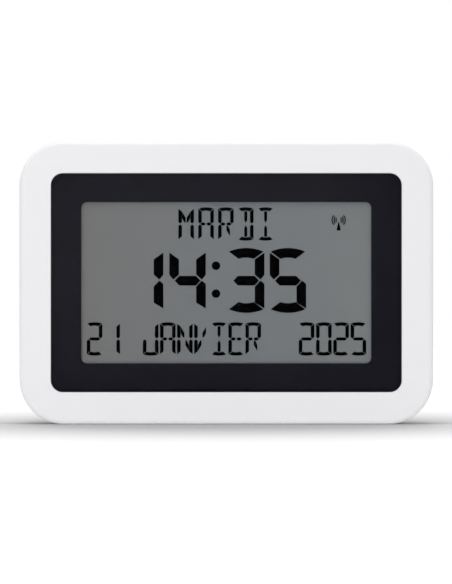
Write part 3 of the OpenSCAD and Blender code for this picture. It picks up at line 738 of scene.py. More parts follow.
def brushed_look(name, colour, rough):
    """Plated sheet or wire with faint rolling lines."""
    n = Surface(name)
    stretched = n.add("ShaderNodeMapping", {0: n.place, "Scale": (1, 12, 1)}).outputs[0]
    lines = n.noise(0.003, 4, stretched)
    return n.finished({
        "Base Color": n.tones(lines, shade(colour, -0.12), shade(colour, 0.05)),
        "Roughness": n.vary(lines, rough - 0.08, rough + 0.1),
        "Normal": n.bump(lines, 0.000004),
        "Metallic": 1.0,
    })


# ---------- settings that a user would change ----------


def colour_property(name, description, default):
    return FloatVectorProperty(name=name, description=description, subtype="COLOR", size=3,
                               min=0, max=1, default=default)


def length_property(name, description, default, low, high):
    return FloatProperty(name=name, description=description, unit="LENGTH", subtype="DISTANCE",
                         default=default, min=low, max=high)


def share_property(name, description, default):
    return FloatProperty(name=name, description=description, subtype="FACTOR", default=default,
                         min=0, max=1)


def power_property(name, description, default):
    return FloatProperty(name=name, description=description, unit="POWER", default=default, min=0,
                         max=200)


class CaseSettings(bpy.types.PropertyGroup):
    """Finish of the white mouldings."""

    plastic: colour_property("Plastic", "Colour of the moulded case", (0.87, 0.87, 0.885))
    roughness: share_property("Roughness", "Roughness of the moulded case", 0.42)
    grain: length_property(
        "Grain", "Width of the moulded texture's marks", 0.0005, 0.0001, 0.005)
    grain_depth: length_property(
        "Grain depth", "Depth of the moulded texture", 0.000012, 0, 0.0001)
    front_round: length_property(
        "Front rounding", "Rounding round the front face", 0.0026, 0.0005, 0.003)
    back_round: length_property(
        "Back rounding", "Rounding round the back face", 0.003, 0.0005, 0.004)
    edge_round: length_property(
        "Edge rounding", "Rounding of recess mouths", 0.0004, 0.0001, 0.001)


class ScreenSettings(bpy.types.PropertyGroup):
    """Finish of the lens, its border print and the display."""

    border: colour_property(
        "Border", "Colour printed behind the lens", (0.0075, 0.0075, 0.0122))
    ground_left: colour_property(
        "Ground, left", "Display ground at the left", (0.2237, 0.218, 0.2192))
    ground_middle: colour_property(
        "Ground, middle", "Display ground between", (0.2237, 0.2347, 0.2484))
    ground_right: colour_property(
        "Ground, right", "Display ground at the right", (0.2365, 0.249, 0.258))
    segment: colour_property(
        "Segments", "Colour of the dark segments", (0.0012, 0.0014, 0.0018))
    sheen: share_property("Sheen", "Gloss that the lens gives to the border behind it", 0.035)
    segment_sheen: share_property(
        "Segment sheen", "Gloss that it gives to the dark segments", 0.004)
    lens_tint: share_property("Lens tint", "How much the lens's faces cover", 0.01)
    # the lens's cut edge is dark and nearly opaque: painted shade round the lens
    painted_dark_lens_rim: share_property("Lens rim", "How much the lens's cut edge covers", 0.9)
    lens_round: length_property(
        "Lens rounding", "Rounding round the lens face", 0.0003, 0.0001, 0.001)


class BackSettings(bpy.types.PropertyGroup):
    """Finish of what is on the back and in the battery bay."""

    button: colour_property("Buttons", "Colour of the button caps", (0.075, 0.078, 0.086))
    sign: colour_property("Signs", "Colour of the signs under the buttons", (0.12, 0.125, 0.135))
    wrap: colour_property("Cell wrap", "Colour of the cells' wrap", (0.03, 0.10, 0.27))
    band: colour_property("Cell band", "Colour of the band round each cell", (0.55, 0.57, 0.6))
    steel: colour_property("Screws", "Colour of the screws", (0.52, 0.53, 0.55))
    nickel: colour_property("Contacts", "Colour of the contacts", (0.72, 0.71, 0.68))


class StageSettings(bpy.types.PropertyGroup):
    """Floor, lights and camera."""

    floor: colour_property("Floor", "Colour of the floor", (0.9, 0.9, 0.9))
    floor_seen: share_property(
        "Floor, seen", "Share of the floor's own light that the camera sees", 0.4)
    # the camera's white lift on the floor is dimmed near the clock by ambient occlusion: a painted
    # shadow
    floor_lift: share_property(
        "Floor lift", "White that the camera sees where nothing stands near", 0.82)
    painted_shadow_reach: length_property(
        "Shadow reach", "How far the soft shadow spreads", 0.28, 0.05, 2)
    fill: share_property("Fill", "Strength of the light from all round", 0.52)
    key: power_property("Key light", "Power of the soft light in front", 14.2)
    top: power_property("Top light", "Power of the soft light above", 22)
    rear: power_property("Rear light", "Power of the soft light behind", 6)
    distance: length_property(
        "Camera distance", "From the front face to the camera", 1.8, 0.5, 5)


class DayClockSettings(bpy.types.PropertyGroup):
    """All settings of the day clock."""

    case: PointerProperty(type=CaseSettings)
    screen: PointerProperty(type=ScreenSettings)
    back: PointerProperty(type=BackSettings)
    stage: PointerProperty(type=StageSettings)


SHARED = {}


def shared(make, name, *values):
    """A material made once and shared by the pieces that have it."""
    if name not in SHARED:
        SHARED[name] = make(name, *values)
    return SHARED[name]


def case_plastic(settings):
    case = settings.case
    return shared(finish, "case_white", case.plastic, case.roughness, case.grain,
                  case.grain_depth, 0.004)


def steel(settings):
    return shared(brushed_look, "screw_steel", settings.back.steel, 0.32)


def nickel(settings):
    return shared(brushed_look, "nickel", settings.back.nickel, 0.3)


# ---------- operators: one for each piece or group of like pieces ----------


class CLOCK_OT_front_housing(bpy.types.Operator):
    """White frame with its rounded rim, the ledge for the lens and the screw posts"""

    bl_idname = "clock.front_housing"
    bl_label = "Front Housing"
    bl_options = {"REGISTER", "UNDO"}

    def execute(self, context):
        settings = context.scene.day_clock
        opening = pane(GLASS_LOW, GLASS_HIGH, OPENING_R - GLASS_GAP, CORNER_STEPS)
        rim = settings.case.front_round / MM
        lip = settings.case.edge_round / MM / 2
        rings = stack(CASE, [(-WALL, PART_Y), (-EDGE, PART_Y), (0, PART_Y - EDGE)])
        rings += stack(CASE, [(-i, FRONT_Y + rim - t) for i, t in quarter(rim, RIM_STEPS)])
        rings += stack(LENS, [(LENS_GAP + i, FRONT_Y + lip - t) for i, t in reversed(quarter(lip))])
        rings += stack(LENS, [(LENS_GAP, LEDGE_Y0)])
        rings += stack(opening, [(GLASS_GAP, LEDGE_Y0), (GLASS_GAP, LEDGE_Y1)])
        rings += stack(LENS, [(LEDGE_RIM, LEDGE_Y1), (LEDGE_RIM, FRONT_Y + WALL)])
        rings += stack(CASE, [(-WALL, FRONT_Y + WALL)])
        piece = solid(skin(rings, joined=True))
        posts = [post(x, z, POST_R, POST_HOLE_R, FRONT_Y + WALL, POST_Y) for x, z in SCREW_PLACES]
        posts += [post(x, MID_Z + z, HOLDER_POST_R, HOLDER_HOLE_R, LEDGE_Y1, HOLDER_Y)
                  for x in (-HOLDER_X, HOLDER_X) for z in (-HOLDER_DZ, 0, HOLDER_DZ)]
        unite(piece, joined(posts))
        put(piece, "front_housing_moulding", "case", [case_plastic(settings)],
            ["front_housing"])
        return {"FINISHED"}


class CLOCK_OT_rear_cover(bpy.types.Operator):
    """Rear cover with the stand recess, battery bay, keyhole, button panel and screw wells"""

    bl_idname = "clock.rear_cover"
    bl_label = "Rear Cover"
    bl_options = {"REGISTER", "UNDO"}

    def execute(self, context):
        settings = context.scene.day_clock
        back = settings.case.back_round / MM
        levels = [(-WALL, INNER_Y), (-WALL, TONGUE_Y1), (-TONGUE_IN, TONGUE_Y1),
                  (-TONGUE_IN, TONGUE_Y0), (-TONGUE_OUT, TONGUE_Y0), (-TONGUE_OUT, PART_Y),
                  (-SEAM_DEPTH, PART_Y), (-SEAM_DEPTH, PART_Y + SEAM_W),
                  (-EDGE, PART_Y + SEAM_W), (0, PART_Y + SEAM_W + EDGE)]
        levels += [(-i, BACK_Y - back + t) for i, t in quarter(back, RIM_STEPS)]
        piece = solid(skin(stack(CASE, levels)))
        self.add_walls(piece, INNER_Y + SLIVER)
        self.cut_recesses(piece, settings.case.edge_round / MM)
        self.cut_holes(piece)
        unite(piece, slab((-RIDGE_X, BAY_FLOOR - 0.1, BAY_Z - RIDGE_HALF),
                          (RIDGE_X, BAY_FLOOR + RIDGE_H, BAY_Z + RIDGE_HALF), RIDGE_EDGE))
        put(piece, "rear_cover_moulding", "case", [case_plastic(settings)],
            ["rear_cover"])
        return {"FINISHED"}

    def add_walls(self, piece, y1):
        """Boxes and bosses that stand on the inside of the cover's back and carry its recesses."""
        recess_y = RECESS_Y - RECESS_WALL
        unite(
            piece,
            slab((-RECESS_X - RECESS_SIDE, recess_y, WALL - SINK),
                 (RECESS_X + RECESS_SIDE, y1, RECESS_Z1 + RECESS_WALL)),
            both_sides(lambda x: slab((x - BLOCK_HALF, recess_y, LEG_AXIS.z - BLOCK_RISE),
                                      (x + BLOCK_HALF, BLOCK_Y, LEG_AXIS.z + BLOCK_RISE)),
                       RECESS_X + BLOCK_HALF),
            slab((-BAY_X - BAY_WALL, BAY_FLOOR - BAY_BASE, BAY_Z - BAY_DZ - BAY_WALL),
                 (BAY_X + BAY_WALL, y1, BAY_Z + BAY_DZ + BAY_WALL)),
            slab((-SEAT_BOX_X, SEAT_BOX_Y, BAY_Z - SEAT_BOX_DZ),
                 (SEAT_BOX_X, y1, BAY_Z + SEAT_BOX_DZ)),
            nail_room(y1, ROOM_SIDE, ROOM_WALL),
            skin(stack(PANEL, [(PANEL_WALL, PANEL_Y - PANEL_WALL), (PANEL_WALL, y1)])),
            joined([turned([(BOSS_R, BOSS_Y), (BOSS_R, y1)], (x, 0, z)) for x, z in SCREW_PLACES]),
        )

    def cut_recesses(self, piece, lip):
        """Recesses for the stand, the cells, the door, the thumb and the buttons."""
        cut(
            piece,
            pocket(RECESS, RECESS_Y, lip, RECESS_ROUND),
            pocket(BAY, BAY_FLOOR, SOFT, BAY_ROUND, mouth_y=SEAT_Y),
            pocket(DOOR, SEAT_Y, lip, size=SEAT_GAP),
            round_bar(BARREL_ROOM_R, -DOOR_X - SEAT_GAP, DOOR_X + SEAT_GAP, DOOR_AXIS),
            round_bar(PIN_R + PLAY, -PIN_HOLE_X, PIN_HOLE_X, DOOR_AXIS, steps=PIN_HOLE_STEPS),
            slab((-LATCH_X - LATCH_ROOM, LATCH_Y - 0.5, LATCH_Z - 1),
                 (LATCH_X + LATCH_ROOM, SEAT_Y + SLIVER, DOOR_TOP + LATCH_ROOM)),
            thumb_dish(),
            pocket(PANEL, PANEL_Y, lip, SOFT),
            both_sides(lambda x: round_bar(AXLE_R + PLAY, x - AXLE_HOLE_HALF, x + AXLE_HOLE_HALF,
                                           LEG_AXIS, steps=PIN_STEPS), AXLE_HOLE_X),
            joined([slab((BAY_X - 1, TAIL_Y0, z - TAIL_HALF), (BAY_X + 3, TAIL_Y1, z + TAIL_HALF))
                    for z in (BAY_Z - TAIL_DZ, BAY_Z + TAIL_DZ)]),
        )

    def cut_holes(self, piece):
        """Keyhole with the room behind it, button holes and screw wells."""
        well = [(SHANK_HOLE_R, PART_Y - 1), (SHANK_HOLE_R, WELL_Y), (WELL_R, WELL_Y)]
        well += open_mouth(WELL_R, SOFT, BACK_Y)
        cut(
            piece,
            nail_room(INNER_Y),
            pocket(keyhole, INNER_Y - 1, SOFT),
            joined([pocket(disc(*key_place(key)), PANEL_Y - 4, KEY_HOLE_ROUND, size=KEY_HOLE_R,
                           mouth_y=PANEL_Y) for key in KEYS]),
            joined([turned(well, (x, 0, z), steps=SCREW_STEPS) for x, z in SCREW_PLACES]),
        )


def key_place(key):
    """Where a button's axis is, as X and Z."""
    x, _, z = node_middle(f"button_{key}")
    return x, z


class CLOCK_OT_lens(bpy.types.Operator):
    """Clear lens with its softened edge darkened as painted shade, and the black border printed on
    its back
    """

    bl_idname = "clock.lens"
    bl_label = "Lens"
    bl_options = {"REGISTER", "UNDO"}

    FACE = 0
    RIM = 1
    FLAT = 0.999

    def execute(self, context):
        screen = context.scene.day_clock.screen
        bm = plate(LENS, LENS_HIGH.y, LENS_LOW.y, GLASS_EDGE, screen.lens_round / MM)
        for face in bm.faces:
            face.material_index = self.FACE if abs(face.normal.y) > self.FLAT else self.RIM
        looks = [lens_look("lens_face", (0.02, 0.02, 0.022), screen.lens_tint, 0.0),
                 # the cut edge dark and nearly opaque instead of clear: painted shade at the lens's
                 # edge
                 lens_look("painted_dark_lens_rim", (0.012, 0.012, 0.015), screen.painted_dark_lens_rim, 0.4)]
        put(solid(bm), "screen_lens_pane", "case", looks, ["screen_lens"])
        dress({
            "lens_border_print": finish("border_print", screen.border, 0.12, 0.0012, 0.0, 0.12,
                                        spread=0.03, shine=screen.sheen),
            "lens_tape": finish("tape", (0.012, 0.012, 0.013), 0.8, 0.0003, 0.00004, 0.1),
        })
        return {"FINISHED"}


class CLOCK_OT_display(bpy.types.Operator):
    """Display: polarisers, glasses, seal and the dark segments"""

    bl_idname = "clock.display"
    bl_label = "Display"
    bl_options = {"REGISTER", "UNDO"}

    def execute(self, context):
        screen = context.scene.day_clock.screen
        ground = ground_look(screen)
        dark = finish("segments", screen.segment, 0.12, 0.0003, 0.0, 0.1, spread=0.03,
                      shine=screen.segment_sheen)
        self.front_pane()
        dress({
            "lcd_seal": finish("seal", (0.05, 0.05, 0.055), 0.5, 0.0004, 0.00001, 0.1),
            "lcd_rear_glass": ground,
            "lcd_rear_polariser": ground,
            "lcd_weekday_segments": dark,
            "lcd_time_segments": dark,
            "lcd_date_segments": dark,
            "lcd_signal_icon": dark,
        })
        return {"FINISHED"}

    def front_pane(self):
        """Front glass with its polariser laminated on, one clear layer for the light to cross."""
        low, high = node_box("lcd_front_polariser")
        rings = stack(pane(low, high),
                      [(-FILM_EDGE, low.y), (0, low.y + FILM_EDGE), (0, high.y)])
        rings += stack(pane(GLASS_LOW, GLASS_HIGH),
                       [(-GLASS_EDGE, GLASS_LOW.y), (0, GLASS_LOW.y + GLASS_EDGE),
                        (0, GLASS_HIGH.y - GLASS_EDGE), (-GLASS_EDGE, GLASS_HIGH.y)])
        put(solid(skin(rings)), "display_front_pane", "case",
            [clear_look("front_pane", (0.985, 0.99, 0.987))],
            ["lcd_front_polariser", "lcd_front_glass"])


class CLOCK_OT_electronics(bpy.types.Operator):
    """Everything that is shut in behind the display"""

    bl_idname = "clock.electronics"
    bl_label = "Electronics"
    bl_options = {"REGISTER", "UNDO"}

    def execute(self, context):
        natural = finish("holder_natural", (0.68, 0.68, 0.65), 0.5, 0.0005, 0.00002, 0.02)
        winding = banded_look("copper_winding", (0.45, 0.13, 0.04), (0.75, 0.3, 0.12), 0.0003, 0.3,
                              metallic=1.0, depth=0.00005)
        switch = finish("switch_black", (0.02, 0.02, 0.022), 0.45, 0.0004, 0.00001, 0.08)
        screws = steel(context.scene.day_clock)
        dress({
            "lcd_holder": natural,
            "antenna_holders": natural,
            "zebra_strip": banded_look("zebra", (0.8, 0.55, 0.6), (0.03, 0.03, 0.03), 0.0001, 0.5),
            "main_board": board_look("board_green", (0.01, 0.09, 0.03), (0.02, 0.16, 0.05)),
            "radio_module": board_look("board_blue", (0.008, 0.04, 0.19), (0.02, 0.08, 0.3)),
            "controller_blob": finish("epoxy_black", (0.006, 0.006, 0.006), 0.2, 0.002, 0.00008,
                                      0.1),
            "clock_crystal": brushed_look("can_metal", (0.55, 0.56, 0.58), 0.3),
            "board_components": finish("parts_dark", (0.05, 0.04, 0.035), 0.5, 0.0006, 0.00002,
                                       0.3),
            "module_pad": finish("foam_white", (0.85, 0.85, 0.78), 0.9, 0.0008, 0.0002, 0.04),
            "antenna_rod": finish("ferrite", (0.014, 0.014, 0.015), 0.35, 0.0004, 0.00003, 0.2),
            "antenna_coil": winding,
            "radio_leads": winding,
            "tact_switches": switch,
            "lead_red": finish("wire_red", (0.5, 0.008, 0.008), 0.4, 0.0006, 0.00001, 0.05),
            "lead_black": finish("wire_black", (0.008, 0.008, 0.008), 0.4, 0.0006, 0.00001, 0.1),
            "holder_screws": screws,
            "board_screws": screws,
            **{f"plunger_{key}": switch for key in KEYS},
        })
        return {"FINISHED"}


class CLOCK_OT_cells(bpy.types.Operator):
    """The two cells, each with its wrap, band, rim and contact button"""

    bl_idname = "clock.cells"
    bl_label = "Cells"
    bl_options = {"REGISTER", "UNDO"}

    WRAP = 0
    BAND = 1
    METAL = 2
    METAL_R = 6.3
    BAND_X = 37
    # (radius, distance) from the flat end to the contact button
    PROFILE = [(4.6, 0), (4.9, 0.06), (5.3, 0.35), (6.35, 0.38), (6.7, 0.3), (7.1, 0.42),
               (7.25, 0.75), (7.25, BAND_X), (7.25, BAND_X + 0.01), (7.25, 48.45), (7.1, 48.8),
               (6.7, 48.95), (6.35, 48.85), (6.2, 48.7), (3.1, 48.7), (2.85, 48.85), (2.75, 49.1),
               (2.75, 50.2), (2.55, 50.42), (2.2, 50.5)]

    def execute(self, context):
        settings = context.scene.day_clock
        looks = [
            finish("cell_wrap", settings.back.wrap, 0.3, 0.001, 0.000006, 0.03, coat=0.3),
            finish("cell_band", settings.back.band, 0.32, 0.001, 0.000006, 0.02, metallic=0.7,
                   coat=0.3),
            nickel(settings),
        ]
        # the second cell is turned round, so its flat end is at its box's high corner
        for name, turn, end in (("battery_1", 0, 0), ("battery_2", math.pi, 1)):
            bm = turned(self.PROFILE, along="X", steps=96)
            for face in bm.faces:
                middle = face.calc_center_median()
                face.material_index = self.zone(math.hypot(middle.y, middle.z), middle.x)
            bm.transform(Matrix.Rotation(turn, 4, "Z"))
            _, y, z = node_middle(name)
            bm.transform(Matrix.Translation((node_box(name)[end].x, y, z)))
            put(solid(bm), name.replace("battery", "cell"), "case", looks, [name])
        return {"FINISHED"}

    def zone(self, radius, x):
        """Which finish a face of the cell has."""
        if radius < self.METAL_R:
            return self.METAL
        return self.BAND if x > self.BAND_X else self.WRAP


class CLOCK_OT_contacts(bpy.types.Operator):
    """Conical springs and contact plates in the battery bay"""

    bl_idname = "clock.contacts"
    bl_label = "Contacts"
    bl_options = {"REGISTER", "UNDO"}

    WIRE_R = 0.3
    WIDE_R = 3.9
    NARROW_R = 2.5
    LENGTH = 3.26
    TURNS = 3.5
    STEPS = 200

    def execute(self, context):
        look = nickel(context.scene.day_clock)
        dress({"battery_contact_plates": look})
        low, high = node_box("battery_contact_springs")
        springs = [self.spring(low.x, "battery_1", 1), self.spring(high.x, "battery_2", -1)]
        put(solid(joined(springs)), "contact_springs", "case", [look],
            ["battery_contact_springs"])
        return {"FINISHED"}

    def spring(self, x, cell, way):
        """One spring, from its plate at x towards its cell, narrowing as it goes."""
        points = []
        for i in range(self.STEPS + 1):
            share = i / self.STEPS
            angle = 2 * math.pi * self.TURNS * share
            radius = self.WIDE_R + (self.NARROW_R - self.WIDE_R) * share
            along = self.WIRE_R + (self.LENGTH - 2 * self.WIRE_R) * share
            points.append(Vector((way * along, radius * math.cos(angle), radius * math.sin(angle))))
        bm = sweep(points, self.WIRE_R)
        _, y, z = node_middle(cell)
        bm.transform(Matrix.Translation((x, y, z)))
        return bm


class CLOCK_OT_stand(bpy.types.Operator):
    """Fold-out leg with its ribs, knuckle, heel and stub axles"""

    bl_idname = "clock.stand"
    bl_label = "Stand"
    bl_options = {"REGISTER", "UNDO"}

    def execute(self, context):
        settings = context.scene.day_clock
        piece = solid(plate(leg, LEG_Y0, LEG_Y1, EDGE, LEG_EDGE))
        hollow_y = LEG_Y1 - LEG_SKIN - HOLLOW_ROUND
        hollow = [(-LEG_SKIN, LEG_Y0 - 1)]
        hollow += [(-LEG_SKIN - i, hollow_y + t) for i, t in quarter(HOLLOW_ROUND)]
        cut(piece, skin(stack(lambda grow: leg(grow, HOLLOW_TOP), hollow)))
        unite(
            piece,
            round_bar(LEG_Y1 - LEG_AXIS.y, -LEG_X, LEG_X, LEG_AXIS, SOFT),
            slab((-HEEL_X, LEG_AXIS.y - 2.2, LEG_AXIS.z - 1),
                 (HEEL_X, LEG_AXIS.y, LEG_AXIS.z + 1.6), HEEL_EDGE),
            round_bar(AXLE_R, LEG_LOW.x, LEG_HIGH.x, LEG_AXIS, SOFT, PIN_STEPS),
            both_sides(lambda x: slab((x - LEG_RIB_HALF, LEG_Y0, LEG_FOOT + 10.9),
                                      (x + LEG_RIB_HALF, LEG_Y1 - 1, LEG_AXIS.z - 3), EDGE),
                       LEG_RIB_X),
        )
        put(piece, "stand_leg", "stand", [case_plastic(settings)], ["stand"])
        return {"FINISHED"}


class CLOCK_OT_battery_door(bpy.types.Operator):
    """Battery door with its hinge barrel, latch, ribs and thumb dish"""

    bl_idname = "clock.battery_door"
    bl_label = "Battery Door"
    bl_options = {"REGISTER", "UNDO"}

    def execute(self, context):
        settings = context.scene.day_clock
        piece = solid(plate(DOOR, DOOR_Y0, BACK_Y, 0.15, DOOR_EDGE))
        cut(piece, slab((-DOOR_X - 1, DOOR_Y0 - 1, DOOR_LOW.z - 5),
                        (DOOR_X + 1, BACK_Y + 1, DOOR_AXIS.z)))
        unite(
            piece,
            round_bar(BARREL_R, -DOOR_X, DOOR_X, DOOR_AXIS, SOFT),
            round_bar(PIN_R, DOOR_LOW.x, DOOR_HIGH.x, DOOR_AXIS, EDGE, PIN_STEPS),
            slab((-LATCH_X, LATCH_Y, LATCH_Z), (LATCH_X, DOOR_RIB_Y1, DOOR_TOP), EDGE),
            both_sides(lambda x: slab((x - DOOR_RIB_HALF, DOOR_RIB_Y0, BAY_Z - DOOR_RIB_DZ),
                                      (x + DOOR_RIB_HALF, DOOR_RIB_Y1, BAY_Z + DOOR_RIB_DZ), EDGE),
                       DOOR_RIB_X),
        )
        cut(piece, thumb_dish())
        for i in range(GRIPS):
            z = GRIP_Z - GRIP_PITCH * i
            unite(piece, slab((i - GRIP_X, BACK_Y - 1, z),
                              (GRIP_X - i, BACK_Y - 0.3, z + GRIP_W), GRIP_EDGE))
        put(piece, "battery_door_plate", "battery_door", [case_plastic(settings)],
            ["battery_door"])
        return {"FINISHED"}


class CLOCK_OT_buttons(bpy.types.Operator):
    """Six push buttons with a flange, a rounded cap and a shallow dish"""

    bl_idname = "clock.buttons"
    bl_label = "Buttons"
    bl_options = {"REGISTER", "UNDO"}

    STEM_R = 1.7
    FLANGE_R = 5.4
    FLANGE_Y0 = BACK_Y - 4.3
    FLANGE_Y1 = BACK_Y - 3.1
    FLANGE_EDGE = 0.1
    CAP_R = 4
    CAP_Y = BACK_Y - 0.2
    CAP_ROUND = 0.6
    DISH_R = 3.2
    DISH_EYE_R = 0.2
    DISH_RIM = 0.02
    DISH_DEPTH = 0.13
    DISH_STEPS = 5

    def execute(self, context):
        settings = context.scene.day_clock
        grey = finish("button_grey", settings.back.button, 0.5, 0.0004, 0.00001, 0.03)
        flange = self.FLANGE_R - self.FLANGE_EDGE
        for key in KEYS:
            y0 = node_box(f"button_{key}")[0].y
            levels = [(self.STEM_R - EDGE, y0), (self.STEM_R, y0 + EDGE),
                      (self.STEM_R, self.FLANGE_Y0), (flange, self.FLANGE_Y0),
                      (self.FLANGE_R, self.FLANGE_Y0 + self.FLANGE_EDGE),
                      (self.FLANGE_R, self.FLANGE_Y1 - self.FLANGE_EDGE),
                      (flange, self.FLANGE_Y1), (self.CAP_R, self.FLANGE_Y1)]
            levels += [(self.CAP_R - i, self.CAP_Y - self.CAP_ROUND + t)
                       for i, t in quarter(self.CAP_ROUND)]
            levels += [self.dish(i / self.DISH_STEPS) for i in range(self.DISH_STEPS + 1)]
            x, z = key_place(key)
            put(solid(turned(levels, (x, 0, z))), f"push_button_{key}", f"key_{key}",
                [grey], [f"button_{key}"])
        return {"FINISHED"}

    def dish(self, share):
        """Level of the cap's dish, from its rim at 0 towards its middle at 1."""
        depth = self.DISH_RIM + self.DISH_DEPTH * math.sin(share * math.pi / 2)
        return self.DISH_R + (self.DISH_EYE_R - self.DISH_R) * share, self.CAP_Y - depth


class CLOCK_OT_signs(bpy.types.Operator):
    """Plain signs on the panel, one under each button, facing the back"""

    bl_idname = "clock.signs"
    bl_label = "Button Signs"
    bl_options = {"REGISTER", "UNDO"}

    LOW = -0.05
    HIGH = 0.3

    def execute(self, context):
        settings = context.scene.day_clock
        makers = {"set": self.dial, "up": self.plus, "down": self.minus, "language": self.globe,
                  "format": self.leaves, "sync": self.mast}
        signs = []
        for key in KEYS:
            shapes = makers[key]()
            sign = solid(shapes[0])
            unite(sign, *shapes[1:])
            bm = taken(sign)
            x, z = key_place(key)
            bm.transform(Matrix.Translation((x, PANEL_Y, z - SIGN_DROP))
                         @ Matrix.Scale(-1, 4, (1, 0, 0)))
            bmesh.ops.reverse_faces(bm, faces=bm.faces)
            signs.append(bm)
        ink = finish("sign_ink", settings.back.sign, 0.55, 0.0003, 0.000004, 0.05)
        put(solid(joined(signs)), "button_signs", "case", [ink])
        return {"FINISHED"}

    def bar(self, x, z, width, height):
        """Flat bar about a middle."""
        return slab((x - width / 2, self.LOW, z - height / 2),
                    (x + width / 2, self.HIGH, z + height / 2), 0.08, 1)

    def ring(self, outline, outer, inner):
        """Flat frame between two growths of an outline."""
        return skin(stack(outline, [(outer, self.LOW), (outer, self.HIGH), (inner, self.HIGH),
                                    (inner, self.LOW)]), joined=True)

    def bow(self, outer, inner, start=45, end=135):
        """Part of a flat ring."""
        edge = arc(0, 0, outer, start, end, 12) + arc(0, 0, inner, end, start, 12)
        return skin([[Vector((x, y, z)) for x, z in edge] for y in (self.LOW, self.HIGH)])

    def dial(self):
        return [self.ring(disc(steps=48), 1.9, 1.45), self.bar(0, 0.48, 0.4, 1.4),
                self.bar(0.35, 0, 1.1, 0.4)]

    def plus(self):
        return [self.bar(0, 0, 3.4, 0.7), self.bar(0, 0, 0.7, 3.4)]

    def minus(self):
        return [self.bar(0, 0, 3.4, 0.7)]

    def globe(self):
        return [self.ring(disc(steps=48), 1.9, 1.5), self.bar(0, 0, 3.4, 0.35),
                self.bar(0, 0, 0.35, 3.4)]

    def leaves(self):
        return [self.ring(rounded(4.2, 3, 0.1, 0, 0), 0, -0.4), self.bar(0, 0, 0.4, 2.6)]

    def mast(self):
        return [self.bar(0, -0.8, 0.4, 2.2), self.bow(1, 0.6), self.bow(2, 1.6)]


class CLOCK_OT_case_screws(bpy.types.Operator):
    """Four cross-head screws at the bottom of their wells"""

    bl_idname = "clock.case_screws"
    bl_label = "Case Screws"
    bl_options = {"REGISTER", "UNDO"}

    LENGTH = 12
    TIP_R = 0.4
    THREAD_R = 1.1
    CORE_R = 0.85
    TURNS = 10
    HEAD_R = 2.7
    HEAD_EDGE = 0.9
    DOME_H = 1.1
    CROSS_LOW = (-1.5, 0.95, -0.28)
    CROSS_HIGH = (1.5, 2.6, 0.28)

    def execute(self, context):
        thread_y = 1 - self.LENGTH
        levels = [(self.TIP_R, -self.LENGTH)]
        for i in range(self.TURNS):
            levels += [(self.THREAD_R, thread_y + i), (self.CORE_R, thread_y + i + 0.5)]
        levels += [(self.THREAD_R, -0.8), (self.THREAD_R, 0), (self.HEAD_R - 0.1, 0),
                   (self.HEAD_R, 0.1), (self.HEAD_R, self.HEAD_EDGE)]
        levels += [(self.HEAD_R * math.cos(t), self.HEAD_EDGE + self.DOME_H * math.sin(t))
                   for t in (math.radians(a) for a in (15, 30, 45, 60, 75, 84))]
        screws = []
        for x, z in SCREW_PLACES:
            screw = solid(turned(levels, steps=SCREW_STEPS))
            for angle in (20, 110):
                blade = slab(self.CROSS_LOW, self.CROSS_HIGH)
                blade.transform(Matrix.Rotation(math.radians(angle + x / 7), 4, "Y"))
                cut(screw, blade)
            bm = taken(screw)
            bm.transform(Matrix.Translation((x, WELL_Y, z)))
            screws.append(bm)
        put(solid(joined(screws)), "cover_screws", "case",
            [steel(context.scene.day_clock)], ["case_screws"])
        return {"FINISHED"}


